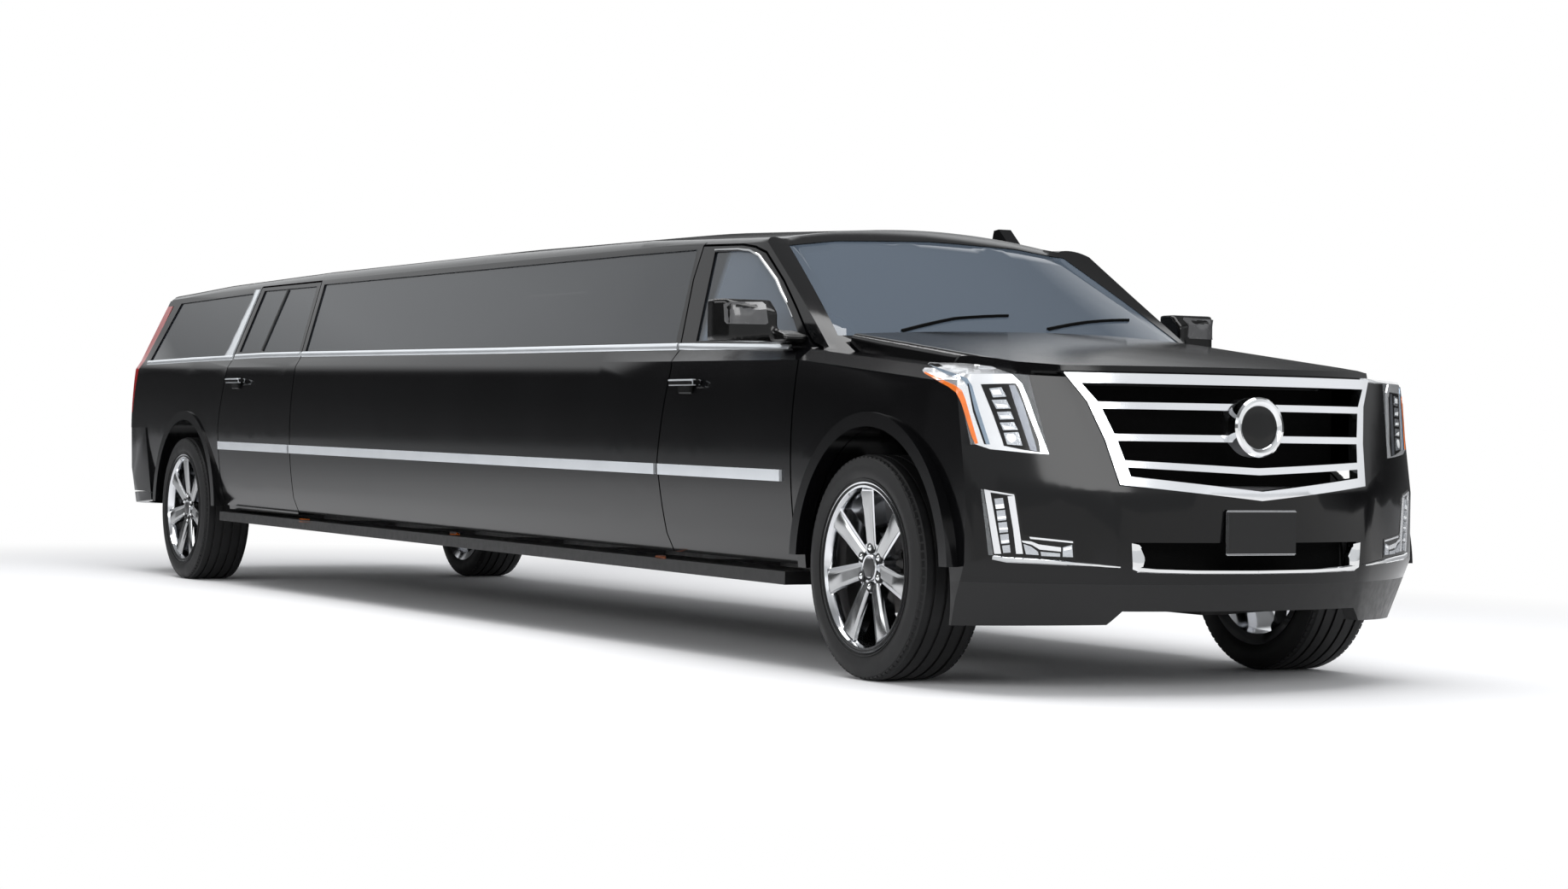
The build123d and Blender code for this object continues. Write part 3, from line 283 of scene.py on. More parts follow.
class Surface(Enum):
    """The finishes used on the pieces."""

    PAINT = Finish("gloss_black_paint", (0.0018, 0.0018, 0.0021), rough=(0.10, 0.14), grain=1.5,
                   specular=0.30, relief=0.00002, relief_scale=350.0)
    GLOSS_BLACK = Finish("gloss_black_plastic", (0.003, 0.003, 0.003), rough=(0.10, 0.16),
                         grain=12.0, specular=0.35)
    SATIN_BLACK = Finish("satin_black_plastic", (0.0045, 0.0045, 0.0048), rough=(0.34, 0.46),
                         relief=0.00008, relief_scale=900.0, specular=0.35)
    UNDERBODY = Finish("underbody_black", (0.010, 0.010, 0.010), rough=(0.55, 0.75), relief=0.0003,
                       relief_scale=220.0)
    CHROME = Finish("polished_chrome", (0.78, 0.79, 0.80), metallic=1.0, rough=(0.045, 0.085),
                    grain=6.0, tint=1.03)
    SATIN_CHROME = Finish("satin_chrome", (0.62, 0.63, 0.65), metallic=1.0, rough=(0.20, 0.28),
                          grain=9.0, tint=1.05)
    WHEEL = Finish("wheel_chrome", (0.66, 0.67, 0.69), metallic=1.0, rough=(0.07, 0.12), grain=9.0,
                   tint=1.06)
    # The windshield is lighter than the other glass: partly a lighter tint, partly a painted reflection of the
    # sky.
    DARK_GLASS = Finish("dark_window_glass", (0.011, 0.014, 0.018), rough=(0.015, 0.03), grain=2.0,
                        alpha=0.88, ior=1.52, tint=6.5, tint_and_reflection_from=front(-1.5))
    LENS = Finish("clear_lens", (0.75, 0.78, 0.80), rough=(0.01, 0.02), alpha=0.16, ior=1.5)
    RED = Finish("red_lens", (0.30, 0.004, 0.004), rough=(0.05, 0.08), coat=0.6, relief=0.0002,
                 relief_scale=160.0)
    AMBER = Finish("amber_lens", (0.72, 0.16, 0.02), rough=(0.10, 0.16), coat=0.5)
    TYRE = Finish("tyre_rubber", (0.0055, 0.0055, 0.0058), rough=(0.50, 0.64), relief=0.00025,
                  relief_scale=500.0, grain=14.0, tint=1.6, specular=0.32)
    IRON = Finish("cast_iron", (0.10, 0.095, 0.09), metallic=0.7, rough=(0.45, 0.65),
                  relief=0.0004, relief_scale=260.0)
    ALLOY = Finish("cast_alloy", (0.30, 0.30, 0.31), metallic=0.8, rough=(0.42, 0.60),
                   relief=0.0005, relief_scale=200.0)
    CARPET = Finish("black_carpet", (0.014, 0.014, 0.015), rough=(0.85, 0.97), relief=0.0012,
                    relief_scale=700.0, sheen=0.3)
    LEATHER = Finish("seat_leather", (0.030, 0.028, 0.027), rough=(0.36, 0.48), relief=0.0004,
                     relief_scale=420.0, grain=18.0, tint=1.4)
    # Only part metal: its light grey diffuse base is a painted reflection that keeps the chrome strips bright
    # against a dark sky.
    TRIM_AND_PAINTED_SHEEN = Finish("trim_chrome_and_painted_sheen", (0.74, 0.77, 0.80), metallic=0.62, rough=(0.12, 0.18), grain=5.0,
                  tint=1.04)
    SPOKE = Finish("spoke_face", (0.40, 0.405, 0.41), metallic=1.0, rough=(0.16, 0.24), grain=12.0,
                   tint=1.12)
    CAP = Finish("cap_grey", (0.045, 0.045, 0.047), metallic=0.3, rough=(0.28, 0.36))
    GRILLE = Finish("grille_chrome", (0.80, 0.81, 0.83), metallic=1.0, rough=(0.14, 0.20),
                    grain=6.0, tint=1.03)
    LAMP_FRAME = Finish("lamp_frame", (0.82, 0.83, 0.85), metallic=0.75, rough=(0.16, 0.24),
                        grain=8.0, tint=1.04)
    RADIATOR = Finish("radiator_black", (0.004, 0.004, 0.004), rough=(0.75, 0.9), specular=0.05,
                      relief=0.002, relief_scale=120.0)
    GUIDE = Finish("light_guide", (0.20, 0.26, 0.33), rough=(0.06, 0.10), coat=0.8, metallic=0.4)
    RIBBED = Finish("lamp_ribs", (0.16, 0.17, 0.19), rough=(0.14, 0.22), metallic=0.7,
                    relief=0.0008, relief_scale=240.0)
    LED = Finish("lamp_reflector", (0.50, 0.52, 0.55), metallic=0.8, rough=(0.08, 0.16),
                 relief=0.0006, relief_scale=190.0)
    WHITE_LED = Finish("lamp_emitter", (0.86, 0.88, 0.90), rough=(0.10, 0.16), coat=0.6)
    MIRROR_PANEL = Finish("mirror_panel", (0.055, 0.055, 0.057), rough=(0.22, 0.28), coat=0.5)
    DASH = Finish("dash_plastic", (0.022, 0.022, 0.023), rough=(0.50, 0.62), relief=0.0003,
                  relief_scale=700.0)

    @property
    def material(self) -> bpy.types.Material:
        """The Blender material of this finish."""
        return MATERIALS[self]


MATERIALS = {surface: surface.value.make() for surface in Surface}


# --------------------------------------------------------------------------- CAD nodes
@dataclass
class CadDresser:
    """Gives every CAD node its finish and smooth shading.

    Attributes:
        weld: distance under which loose corners are joined.
        smooth_angle: edges sharper than this stay sharp, in degrees.
        special: nodes whose finish isn't their slot's usual one.
        finishes: finish of each slot of the record.
    """

    weld: float = 0.00004
    smooth_angle: float = 28.0
    special: dict[str, Surface] = field(default_factory=lambda: {"grille": Surface.GRILLE})
    finishes: dict[str, Surface] = field(default_factory=lambda: {
        "body_paint": Surface.PAINT,
        "frame_steel": Surface.UNDERBODY,
        "floor_carpet": Surface.CARPET,
        "axle_iron": Surface.IRON,
        "engine_alloy": Surface.ALLOY,
        "dark_glass": Surface.DARK_GLASS,
        "chrome_trim": Surface.TRIM_AND_PAINTED_SHEEN,
        "black_plastic": Surface.SATIN_BLACK,
        "lamp_clear": Surface.LENS,
        "lamp_red": Surface.RED,
        "seat_leather": Surface.LEATHER,
        "dash_plastic": Surface.DASH,
        "tyre_rubber": Surface.TYRE,
        "rim_chrome": Surface.WHEEL,
    })

    def smoothing(self) -> bpy.types.NodeTree:
        """Node group that welds corners and shades smooth by angle.

        Returns:
            The geometry node group.
        """
        group = bpy.data.node_groups.new("smooth_by_angle", "GeometryNodeTree")
        for way in ("INPUT", "OUTPUT"):
            group.interface.new_socket("Geometry", in_out=way, socket_type="NodeSocketGeometry")
        tree = NodeTree(group)
        start = tree.add("NodeGroupInput")
        merge = tree.add("GeometryNodeMergeByDistance", Distance=self.weld)
        angle = tree.add("GeometryNodeInputMeshEdgeAngle")
        compare = tree.add("FunctionNodeCompare", operation="LESS_THAN",
                           B=math.radians(self.smooth_angle))
        edges = tree.add("GeometryNodeSetShadeSmooth", domain="EDGE")
        faces = tree.add("GeometryNodeSetShadeSmooth", domain="FACE")
        end = tree.add("NodeGroupOutput")
        tree.chain((start, 0, merge, "Geometry"), (angle, "Unsigned Angle", compare, "A"),
                   (merge, "Geometry", edges, "Geometry"),
                   (compare, "Result", edges, "Shade Smooth"),
                   (edges, "Geometry", faces, "Geometry"), (faces, "Geometry", end, 0))
        return group

    def dress(self) -> None:
        """Dresses the nodes by their record slots."""
        group = self.smoothing()
        slots = {part["node"]: part["material_slot"] for part in frame["record"]["subparts"]}
        for name, node in frame["nodes"].items():
            surface = self.special.get(name, self.finishes[slots[name]])
            node.data.materials.clear()
            node.data.materials.append(surface.material)
            node.modifiers.new("smooth", "NODES").node_group = group
            log.info("dressed %s in %s", name, surface.value.name)


# --------------------------------------------------------------------------- shapes
VIEW_WIDTH = 1837
VIEW_HEIGHT = 1041
SENSOR_WIDTH = 36.0
RAY_LENGTH = 60.0
SMOOTH_ANGLE = 35.0


@dataclass(frozen=True)
class ViewRay:
    """Turns a point of the framed view into a ray.

    Attributes:
        eye: camera place.
        forward: direction of view.
        right: rightward axis of the picture.
        up: upward axis of the picture.
        focal_px: focal length in pixels of the framed view.
    """

    eye: Vector
    forward: Vector
    right: Vector
    up: Vector
    focal_px: float

    def through(self, px: float, py: float) -> Vector:
        """Direction through a point of the view."""
        u = (px - VIEW_WIDTH / 2) / self.focal_px
        v = (VIEW_HEIGHT / 2 - py) / self.focal_px
        return (self.forward + u * self.right + v * self.up).normalized()


@dataclass
class Skin:
    """Outer surface of some CAD nodes, found by rays.

    Attributes:
        nodes: CAD nodes that carry the piece.
        plane: how outline points are read: view, side, front, back or top.
        reach: distance to the last point met, used where a ray misses.
    """

    nodes: tuple[str, ...]
    plane: str = "side"
    reach: float = 8.0

    def __post_init__(self) -> None:
        """Builds the search tree."""
        corners: list[Vector] = []
        faces: list[tuple[int, ...]] = []
        for name in self.nodes:
            mesh = frame["nodes"][name].data
            start = len(corners)
            corners += [v.co.copy() for v in mesh.vertices]
            faces += [tuple(start + i for i in face.vertices) for face in mesh.polygons]
        self.tree = BVHTree.FromPolygons(corners, faces)

    def ray(self, u: float, v: float) -> tuple[Vector, Vector]:
        """Start and direction of the ray for an outline point."""
        if self.plane == "view":
            return VIEW.eye, VIEW.through(u, v)
        if self.plane == "side":
            return Vector((u, -3.0, v)), Vector((0, 1, 0))
        if self.plane == "front":
            return Vector((9.0, u, v)), Vector((-1, 0, 0))
        if self.plane == "back":
            return Vector((-9.0, u, v)), Vector((1, 0, 0))
        return Vector((u, v, 4.0)), Vector((0, 0, -1))

    def place(self, u: float, v: float) -> tuple[Vector, Vector]:
        """Point on the surface and the direction that faces out of it.

        Args:
            u: first outline coordinate.
            v: second outline coordinate.

        Returns:
            The point and the outward direction.
        """
        start, aim = self.ray(u, v)
        spot, normal, _, _ = self.tree.ray_cast(start, aim, RAY_LENGTH)
        if spot is None:
            near, normal, _, _ = self.tree.find_nearest(start + aim * self.reach)
            depth = (near - start).dot(aim)
            spot = start + aim * depth
            normal = -aim
        else:
            self.reach = (spot - start).length
        if normal.dot(aim) > 0:
            normal = -normal
        return spot, (normal * 0.5 - aim * 0.5).normalized()


def mirrored(mesh: bpy.types.Mesh) -> bpy.types.Mesh:
    """Copy of a mesh on the other side of the vehicle."""
    other = mesh.copy()
    other.transform(Matrix.Scale(-1, 4, (0, 1, 0)))
    other.flip_normals()
    return other


def shade(mesh: bpy.types.Mesh, angle: float = SMOOTH_ANGLE) -> None:
    """Shades a mesh smooth, apart from edges sharper than an angle."""
    form = bmesh.new()
    form.from_mesh(mesh)
    bmesh.ops.recalc_face_normals(form, faces=form.faces)
    for edge in form.edges:
        edge.smooth = len(edge.link_faces) == 2 and edge.calc_face_angle(0.0) < math.radians(angle)
    for face in form.faces:
        face.smooth = True
    form.to_mesh(mesh)
    form.free()


def finished(form: bmesh.types.BMesh, name: str, angle: float = SMOOTH_ANGLE) -> bpy.types.Mesh:
    """Turns a form into a shaded mesh, and frees the form.

    Args:
        form: the form.
        name: mesh name.
        angle: edges sharper than this stay sharp, in degrees.

    Returns:
        The mesh.
    """
    mesh = bpy.data.meshes.new(name)
    form.to_mesh(mesh)
    form.free()
    shade(mesh, angle)
    return mesh


def loft(form: bmesh.types.BMesh, rings: Sequence[Sequence[bmesh.types.BMVert]]) -> None:
    """Joins closed rings into a band and caps its ends.

    Args:
        form: the form that holds the rings.
        rings: corners of each ring, equally many in each.
    """
    for a, b in zip(rings, rings[1:]):
        for k in range(len(a)):
            n = (k + 1) % len(a)
            form.faces.new([a[k], a[n], b[n], b[k]])
    form.faces.new(rings[0])
    form.faces.new(list(reversed(rings[-1])))


def add_piece(name: str, mesh: bpy.types.Mesh, surface: Surface,
              body: str = "body") -> bpy.types.Object:
    """Puts a piece in the scene and lets it ride on a body.

    Args:
        name: piece name.
        mesh: its mesh, in the vehicle's frame.
        surface: its finish.
        body: the body that carries it.

    Returns:
        The new object.
    """
    mesh.name = name
    mesh.materials.clear()
    mesh.materials.append(surface.material)
    piece = bpy.data.objects.new(name, mesh)
    bpy.context.scene.collection.objects.link(piece)
    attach(piece, body)
    log.info("added %s on %s", name, body)
    return piece


def add_pair(name: str, mesh: bpy.types.Mesh, surface: Surface, body: str = "body") -> None:
    """Adds a right-hand piece and its mirror image.

    Args:
        name: piece name without its side.
        mesh: mesh of the right-hand piece.
        surface: its finish.
        body: the body that carries it, without its side unless it is the body itself.
    """
    sides = {"right": mesh, "left": mirrored(mesh)}
    for side, made in sides.items():
        add_piece(f"{name}_{side}", made, surface, body if body == "body" else f"{body}_{side}")


def join(meshes: Iterable[bpy.types.Mesh]) -> bpy.types.Mesh:
    """One mesh from several."""
    form = bmesh.new()
    for mesh in meshes:
        form.from_mesh(mesh)
    return finished(form, "joined")


@dataclass
class Plate:
    """Thin plate that follows the surface under it.

    Attributes:
        outline: corners in the skin's plane.
        lift: height of its face above the surface, in metres.
        sink: depth of its back under the surface.
        step: spacing of the cuts that let it bend, in outline units.
    """

    outline: Sequence[tuple[float, float]]
    lift: float = 0.003
    sink: float = 0.004
    step: float = 8.0

    def on(self, skin: Skin) -> bpy.types.Mesh:
        """Builds the plate on a skin.

        Args:
            skin: the surface that carries it.

        Returns:
            A closed mesh.
        """
        flat = bmesh.new()
        flat.faces.new([flat.verts.new((u, v, 0)) for u, v in self.outline])
        for axis in (0, 1):
            low = min(p[axis] for p in self.outline)
            high = max(p[axis] for p in self.outline)
            count = int((high - low) / self.step)
            for cut in range(1, count + 1):
                at = [0.0, 0.0, 0.0]
                at[axis] = low + cut * (high - low) / (count + 1)
                way = [0.0, 0.0, 0.0]
                way[axis] = 1.0
                parts = flat.verts[:] + flat.edges[:] + flat.faces[:]
                bmesh.ops.bisect_plane(flat, geom=parts, plane_co=at, plane_no=way, dist=1e-5)
        flat.verts.index_update()
        solid = bmesh.new()
        tops, backs = {}, {}
        for vert in flat.verts:
            spot, out = skin.place(vert.co.x, vert.co.y)
            tops[vert.index] = solid.verts.new(spot + out * self.lift)
            backs[vert.index] = solid.verts.new(spot - out * self.sink)
        for face in flat.faces:
            ring = [v.index for v in face.verts]
            solid.faces.new([tops[i] for i in ring])
            solid.faces.new([backs[i] for i in reversed(ring)])
        for edge in flat.edges:
            if len(edge.link_faces) == 1:
                a, b = (v.index for v in edge.verts)
                solid.faces.new([tops[a], tops[b], backs[b], backs[a]])
        flat.free()
        return finished(solid, "plate")


def spread(points: Sequence[Sequence[float]], step: float) -> list[tuple[float, ...]]:
    """Adds evenly spaced points between the given ones."""
    out: list[tuple[float, ...]] = [tuple(points[0])]
    for a, b in zip(points, points[1:]):
        length = math.hypot(b[0] - a[0], b[1] - a[1])
        count = max(1, int(length / step))
        for i in range(1, count + 1):
            t = i / count
            out.append(tuple(p + (q - p) * t for p, q in zip(a, b)))
    return out


@dataclass
class Strip:
    """Crowned strip along a path on a skin.

    Attributes:
        path: rows of (u, v, width); the width is in metres.
        lift: height of the crown.
        sink: depth of the foot under the surface.
        step: spacing of the sections, in outline units.
        flat: share of the width that stays flat on top.
    """

    path: Sequence[tuple[float, float, float]]
    lift: float = 0.005
    sink: float = 0.004
    step: float = 0.08
    flat: float = 0.6

    def on(self, skin: Skin) -> bpy.types.Mesh:
        """Builds the strip on a skin.

        Args:
            skin: the surface that carries it.

        Returns:
            A closed mesh.
        """
        rows = spread(self.path, self.step)
        places = [skin.place(u, v) + (width,) for u, v, width in rows]
        return tube(places, self.lift, self.sink, self.flat)


def tube(places: Sequence[tuple[Vector, Vector, float]], lift: float, sink: float,
         flat: float) -> bpy.types.Mesh:
    """Crowned band through places in space.

    Args:
        places: point, outward direction and width of each section.
        lift: height of the crown.
        sink: depth of the foot.
        flat: share of the width that is flat on top.

    Returns:
        A closed mesh.
    """
    form = bmesh.new()
    rings = []
    for i, (spot, out, width) in enumerate(places):
        ahead = places[min(i + 1, len(places) - 1)][0] - places[max(i - 1, 0)][0]
        side = ahead.cross(out).normalized()
        up = side.cross(ahead).normalized()
        if up.dot(out) < 0:
            up = -up
        half = width / 2
        profile = [(-half, -sink), (-half, lift * 0.55), (-half * flat, lift), (half * flat, lift),
                   (half, lift * 0.55), (half, -sink)]
        rings.append([form.verts.new(spot + side * a + up * b) for a, b in profile])
    loft(form, rings)
    return finished(form, "strip")


def lathe(profile: Sequence[tuple[float, float]], sides: int = 48) -> bpy.types.Mesh:
    """Turned form about the local Z axis.

    Args:
        profile: rows of (radius, height) from the axis outwards and back to the axis.
        sides: number of faces around.

    Returns:
        A closed mesh.
    """
    form = bmesh.new()
    rings = []
    for radius, height in profile:
        if radius < 1e-6:
            rings.append([form.verts.new((0, 0, height))])
            continue
        turns = (2 * math.pi * k / sides for k in range(sides))
        rings.append([form.verts.new((radius * math.cos(t), radius * math.sin(t), height))
                      for t in turns])
    pairs = list(zip(rings, rings[1:]))
    if len(rings[0]) > 1:
        pairs.append((rings[-1], rings[0]))
    for a, b in pairs:
        for k in range(sides):
            n = (k + 1) % sides
            corners = [a[k % len(a)], a[n % len(a)], b[n % len(b)], b[k % len(b)]]
            distinct = list(dict.fromkeys(corners))
            if len(distinct) > 2:
                form.faces.new(distinct)
    return finished(form, "turned", 30.0)


def slab(low: Sequence[float], high: Sequence[float], bevel: float) -> bpy.types.Mesh:
    """Flat piece with rounded edges.

    Args:
        low: lowest corner.
        high: highest corner.
        bevel: radius of the edges.

    Returns:
        A closed mesh.
    """
    form = bmesh.new()
    bmesh.ops.create_cube(form, size=1.0)
    for vert in form.verts:
        vert.co = Vector(((low[i] + high[i]) / 2 + vert.co[i] * (high[i] - low[i])
                          for i in range(3)))
    bmesh.ops.bevel(form, geom=form.edges[:], offset=bevel, segments=3, affect="EDGES")
    return finished(form, "slab")


class RingNodes:
    """Geometry Nodes group that repeats a unit around the local Z axis."""

    def __init__(self) -> None:
        """Builds the group once."""
        group = bpy.data.node_groups.new("repeat_around", "GeometryNodeTree")
        face = group.interface
        self.inputs = {
            "Unit": face.new_socket("Unit", in_out="INPUT", socket_type="NodeSocketGeometry"),
            "Count": face.new_socket("Count", in_out="INPUT", socket_type="NodeSocketInt"),
            "Finish": face.new_socket("Finish", in_out="INPUT", socket_type="NodeSocketMaterial"),
        }
        face.new_socket("Geometry", in_out="OUTPUT", socket_type="NodeSocketGeometry")
        tree = NodeTree(group)
        start, end = tree.add("NodeGroupInput"), tree.add("NodeGroupOutput")
        line = tree.add("GeometryNodeMeshLine", Offset=(0, 0, 0))
        index = tree.add("GeometryNodeInputIndex")
        turn = tree.add("ShaderNodeMath", operation="MULTIPLY")
        turn.inputs[0].default_value = 2 * math.pi
        share = tree.add("ShaderNodeMath", operation="DIVIDE")
        spin = tree.add("ShaderNodeCombineXYZ")
        copies = tree.add("GeometryNodeInstanceOnPoints")
        real = tree.add("GeometryNodeRealizeInstances")
        paint = tree.add("GeometryNodeSetMaterial")
        tree.chain((start, "Count", line, "Count"), (index, 0, share, 0),
                   (start, "Count", share, 1), (share, 0, turn, 1), (turn, 0, spin, "Z"),
                   (line, "Mesh", copies, "Points"),
                   (start, "Unit", copies, "Instance"), (spin, 0, copies, "Rotation"),
                   (copies, "Instances", real, "Geometry"), (real, "Geometry", paint, "Geometry"),
                   (start, "Finish", paint, "Material"), (paint, "Geometry", end, "Geometry"))
        self.group = group

    def around(self, unit: bpy.types.Mesh, count: int, surface: Surface) -> bpy.types.Mesh:
        """Repeats a unit evenly around the axis.

        Args:
            unit: mesh of one copy, at its place for angle zero.
            count: number of copies.
            surface: finish of the copies.

        Returns:
            The mesh of all copies.
        """
        holder = bpy.data.objects.new("holder", unit)
        bpy.context.scene.collection.objects.link(holder)
        modifier = holder.modifiers.new("repeat", "NODES")
        modifier.node_group = self.group
        modifier[self.inputs["Count"].identifier] = count
        modifier[self.inputs["Finish"].identifier] = surface.material
        graph = bpy.context.evaluated_depsgraph_get()
        mesh = bpy.data.meshes.new_from_object(holder.evaluated_get(graph))
        holder.modifiers.remove(modifier)
        bpy.data.objects.remove(holder)
        return mesh


# --------------------------------------------------------------------------- wheels
BLOCK_FACES = ((0, 1, 3, 2), (4, 5, 7, 6), (0, 1, 5, 4), (2, 3, 7, 6), (0, 2, 6, 4), (1, 3, 7, 5))
# radius, half width, height of the face and rise of its ridge
SPOKE_ROWS = ((0.066, 0.025, 0.1000, 0.0040), (0.100, 0.0245, 0.1040, 0.0060),
              (0.180, 0.029, 0.1125, 0.0065), (0.250, 0.0355, 0.1195, 0.0065),
              (0.2745, 0.0400, 0.1215, 0.0040))


@dataclass
class WheelDress:
    """Nuts, cap, spoke faces and tread for the four wheels.

    Attributes:
        rim_face: distance of the spoke face from the wheel's middle.
        nut_radius: radius of the nut circle.
        tyre_radius: outer radius of the tyre.
        tyre_half: half width of the tread.
        spoke_phase: turn of the first spoke, in degrees.
        nut_turn: turn of the first nut.
        blocks: tread blocks around each shoulder.
    """

    rim_face: float = 0.104
    nut_radius: float = 0.0699
    tyre_radius: float = 0.4075
    tyre_half: float = 0.1425
    spoke_phase: float = 12.0
    nut_turn: Matrix = field(default_factory=lambda: Matrix.Rotation(math.radians(30), 4, "Z"))
    blocks: int = 84

    def spoke(self, sign: int) -> bpy.types.Mesh:
        """Bevelled face of one spoke, with a ridge that widens toward the rim.

        Args:
            sign: 1 for the left wheels, -1 for the right ones.

        Returns:
            A closed mesh.
        """
        form = bmesh.new()
        rings = []
        for radius, half, height, rise in SPOKE_ROWS:
            inner = half * 0.62
            profile = ((-half - 0.004, -0.010), (-half, 0.0012), (-inner, rise), (inner, rise),
                       (half, 0.0012), (half + 0.004, -0.010))
            rings.append([form.verts.new((radius, a, height + b)) for a, b in profile])
        loft(form, rings)
        mesh = finished(form, "spoke", 20.0)
        mesh.transform(Matrix.Rotation(math.radians(self.spoke_phase * sign), 4, "Z"))
        return mesh

    def parts(self, ring: RingNodes, sign: int) -> dict[str, tuple[bpy.types.Mesh, Surface]]:
        """Meshes of one wheel, its axis on local Z.

        Args:
            ring: the repeat group.
            sign: 1 for the left wheels, -1 for the right ones.

        Returns:
            Name to mesh and finish.
        """
        face = self.rim_face
        nut = lathe([(0, 0.030), (0.006, 0.029), (0.0105, 0.024), (0.0115, 0.016), (0.0115, -0.012),
                     (0, -0.012)], 20)
        nut.transform(self.nut_turn @ Matrix.Translation((self.nut_radius, 0, face - 0.020)))
        pocket = lathe([(0.0128, 0.003), (0.019, 0.004), (0.0205, 0.001), (0.0205, -0.006),
                        (0.0128, -0.006)], 24)
        pocket.transform(self.nut_turn @ Matrix.Translation((self.nut_radius, 0, face)))
        cap = lathe([(0, 0.016), (0.022, 0.0155), (0.035, 0.013), (0.0395, 0.009), (0.0405, -0.004),
                     (0, -0.004)], 6)
        cap.transform(Matrix.Translation((0, 0, face - 0.002)))
        trim = lathe([(0.040, 0.006), (0.046, 0.007), (0.049, 0.003), (0.049, -0.004),
                      (0.040, -0.004)], 48)
        trim.transform(Matrix.Translation((0, 0, face)))
        return {
            "nuts": (ring.around(nut, 6, Surface.CHROME), Surface.CHROME),
            "pockets": (ring.around(pocket, 6, Surface.SATIN_BLACK), Surface.SATIN_BLACK),
            "spokes": (ring.around(self.spoke(sign), 7, Surface.SPOKE), Surface.SPOKE),
            "cap": (cap, Surface.CAP),
            "cap_ring": (trim, Surface.WHEEL),
            "tread": (ring.around(self.tread_unit(), self.blocks, Surface.TYRE), Surface.TYRE),
            "rings": (self.sidewall(), Surface.TYRE),
        }

    def tread_unit(self) -> bpy.types.Mesh:
        """The two shoulder blocks of one pitch of the tread."""
        form = bmesh.new()
        pitch = 2 * math.pi / self.blocks
        for side in (-1, 1):
            outer, inner = side * (self.tyre_half - 0.014), side * (self.tyre_half - 0.046)
            low, high = self.tyre_radius - 0.012, self.tyre_radius - 0.0002
            corners = []
            for radius in (low, high):
                for z in (inner, outer):
                    drop = 0.006 if z == outer else 0.0
                    for turn in (-0.36 * pitch, 0.36 * pitch):
                        r = radius - drop
                        corners.append(form.verts.new((r * math.cos(turn), r * math.sin(turn), z)))
            for quad in BLOCK_FACES:
                form.faces.new([corners[i] for i in quad])
        return finished(form, "blocks")

    def sidewall(self) -> bpy.types.Mesh:
        """Raised rings on the outer side wall."""
        rings = []
        for radius, width in ((0.372, 0.0022), (0.318, 0.0018), (0.297, 0.003)):
            z = self.tyre_half - 0.0055 if radius < 0.33 else self.tyre_half - 0.009
            ring = lathe([(radius, -0.006), (radius, 0.0012), (radius + width, 0.0022),
                          (radius + 2 * width, 0.0012), (radius + 2 * width, -0.006)], 96)
            ring.transform(Matrix.Translation((0, 0, z)))
            rings.append(ring)
        return join(rings)

    def dress(self) -> None:
        """Adds the parts to each wheel."""
        ring = RingNodes()
        for end in ("front", "rear"):
            for side, sign in (("left", 1), ("right", -1)):
                joint = JOINTS[f"spin_{end}_{side}"]
                turn = Matrix.Rotation(math.radians(-90 * sign), 4, "X")
                place = Matrix.Translation(joint["pos_m"]) @ turn
                for name, (mesh, surface) in self.parts(ring, sign).items():
                    mesh.transform(place)
                    add_piece(f"wheel_{name}_{end}_{side}", mesh, surface, f"wheel_{end}_{side}")


# --------------------------------------------------------------------------- lamps
HEADLAMP_SHELL = [(1081, 434), (1089, 424.5), (1128, 425), (1162, 429), (1186, 438.5), (1197, 449),
                  (1205, 468), (1215, 496), (1229, 532), (1200, 530), (1160, 526), (1142, 520),
                  (1137, 504), (1129, 476), (1122, 459), (1112, 452), (1084, 438)]
HEADLAMP_LAYERS = {
    "frame": (Surface.LAMP_FRAME, 0.0025, [HEADLAMP_SHELL]),
    "amber": (Surface.AMBER, 0.0045, [
        [(1083, 435.5), (1118, 450.5), (1127, 457), (1131, 467), (1146, 519), (1142.5, 520),
         (1138, 510),
         (1127, 474), (1121, 460), (1112, 453), (1084, 438)]]),
    "guide": (Surface.GUIDE, 0.0045, [
        [(1088.5, 427.5), (1112, 435.5), (1133, 443), (1139, 452), (1147, 480), (1160, 520.5),
         (1153, 520),
         (1141, 484), (1134, 453), (1129, 446), (1109, 438.5)]]),
    "shadow": (Surface.GLOSS_BLACK, 0.0050, [
        [(1133.4, 449), (1135, 449.5), (1142, 480), (1155.5, 520.5), (1153, 520), (1140, 482)],
        [(1149, 450), (1190, 449), (1194, 455), (1206, 488), (1217, 516), (1219, 530), (1200, 527),
         (1176, 522), (1174, 515), (1162, 482)]]),
    "ribs": (Surface.RIBBED, 0.0058, [
        [(1182, 451), (1189, 451), (1199, 474), (1213, 520), (1215, 529), (1207, 527), (1200, 506),
         (1190, 476)]]),
    "cells": (Surface.LED, 0.0066, [
        [(1159, 455), (1173, 453.5), (1179, 464.5), (1163.5, 465.5)],
        [(1162, 468.5), (1179, 468), (1184, 478.5), (1167.5, 479)],
        [(1168, 482.5), (1184, 482), (1188, 491), (1171.5, 491.5)],
        [(1171.5, 495), (1188, 494.5), (1192.5, 503.5), (1175.5, 504)],
        [(1176, 507), (1193, 506), (1198, 522), (1180, 520.5)]]),
    "cores": (Surface.WHITE_LED, 0.0074, [
        [(1161, 457), (1171, 456), (1174, 462), (1164, 462.5)],
        [(1166, 473), (1180, 474), (1182, 477.5), (1169, 477.5)],
        [(1171, 486.5), (1183, 487), (1185, 490), (1173.5, 490)],
        [(1174, 498), (1185, 500), (1190, 502.5), (1177, 503)],
        [(1180, 508.5), (1187, 508), (1190, 511), (1190, 516), (1185, 519), (1181, 516),
         (1179, 512)]]),
}
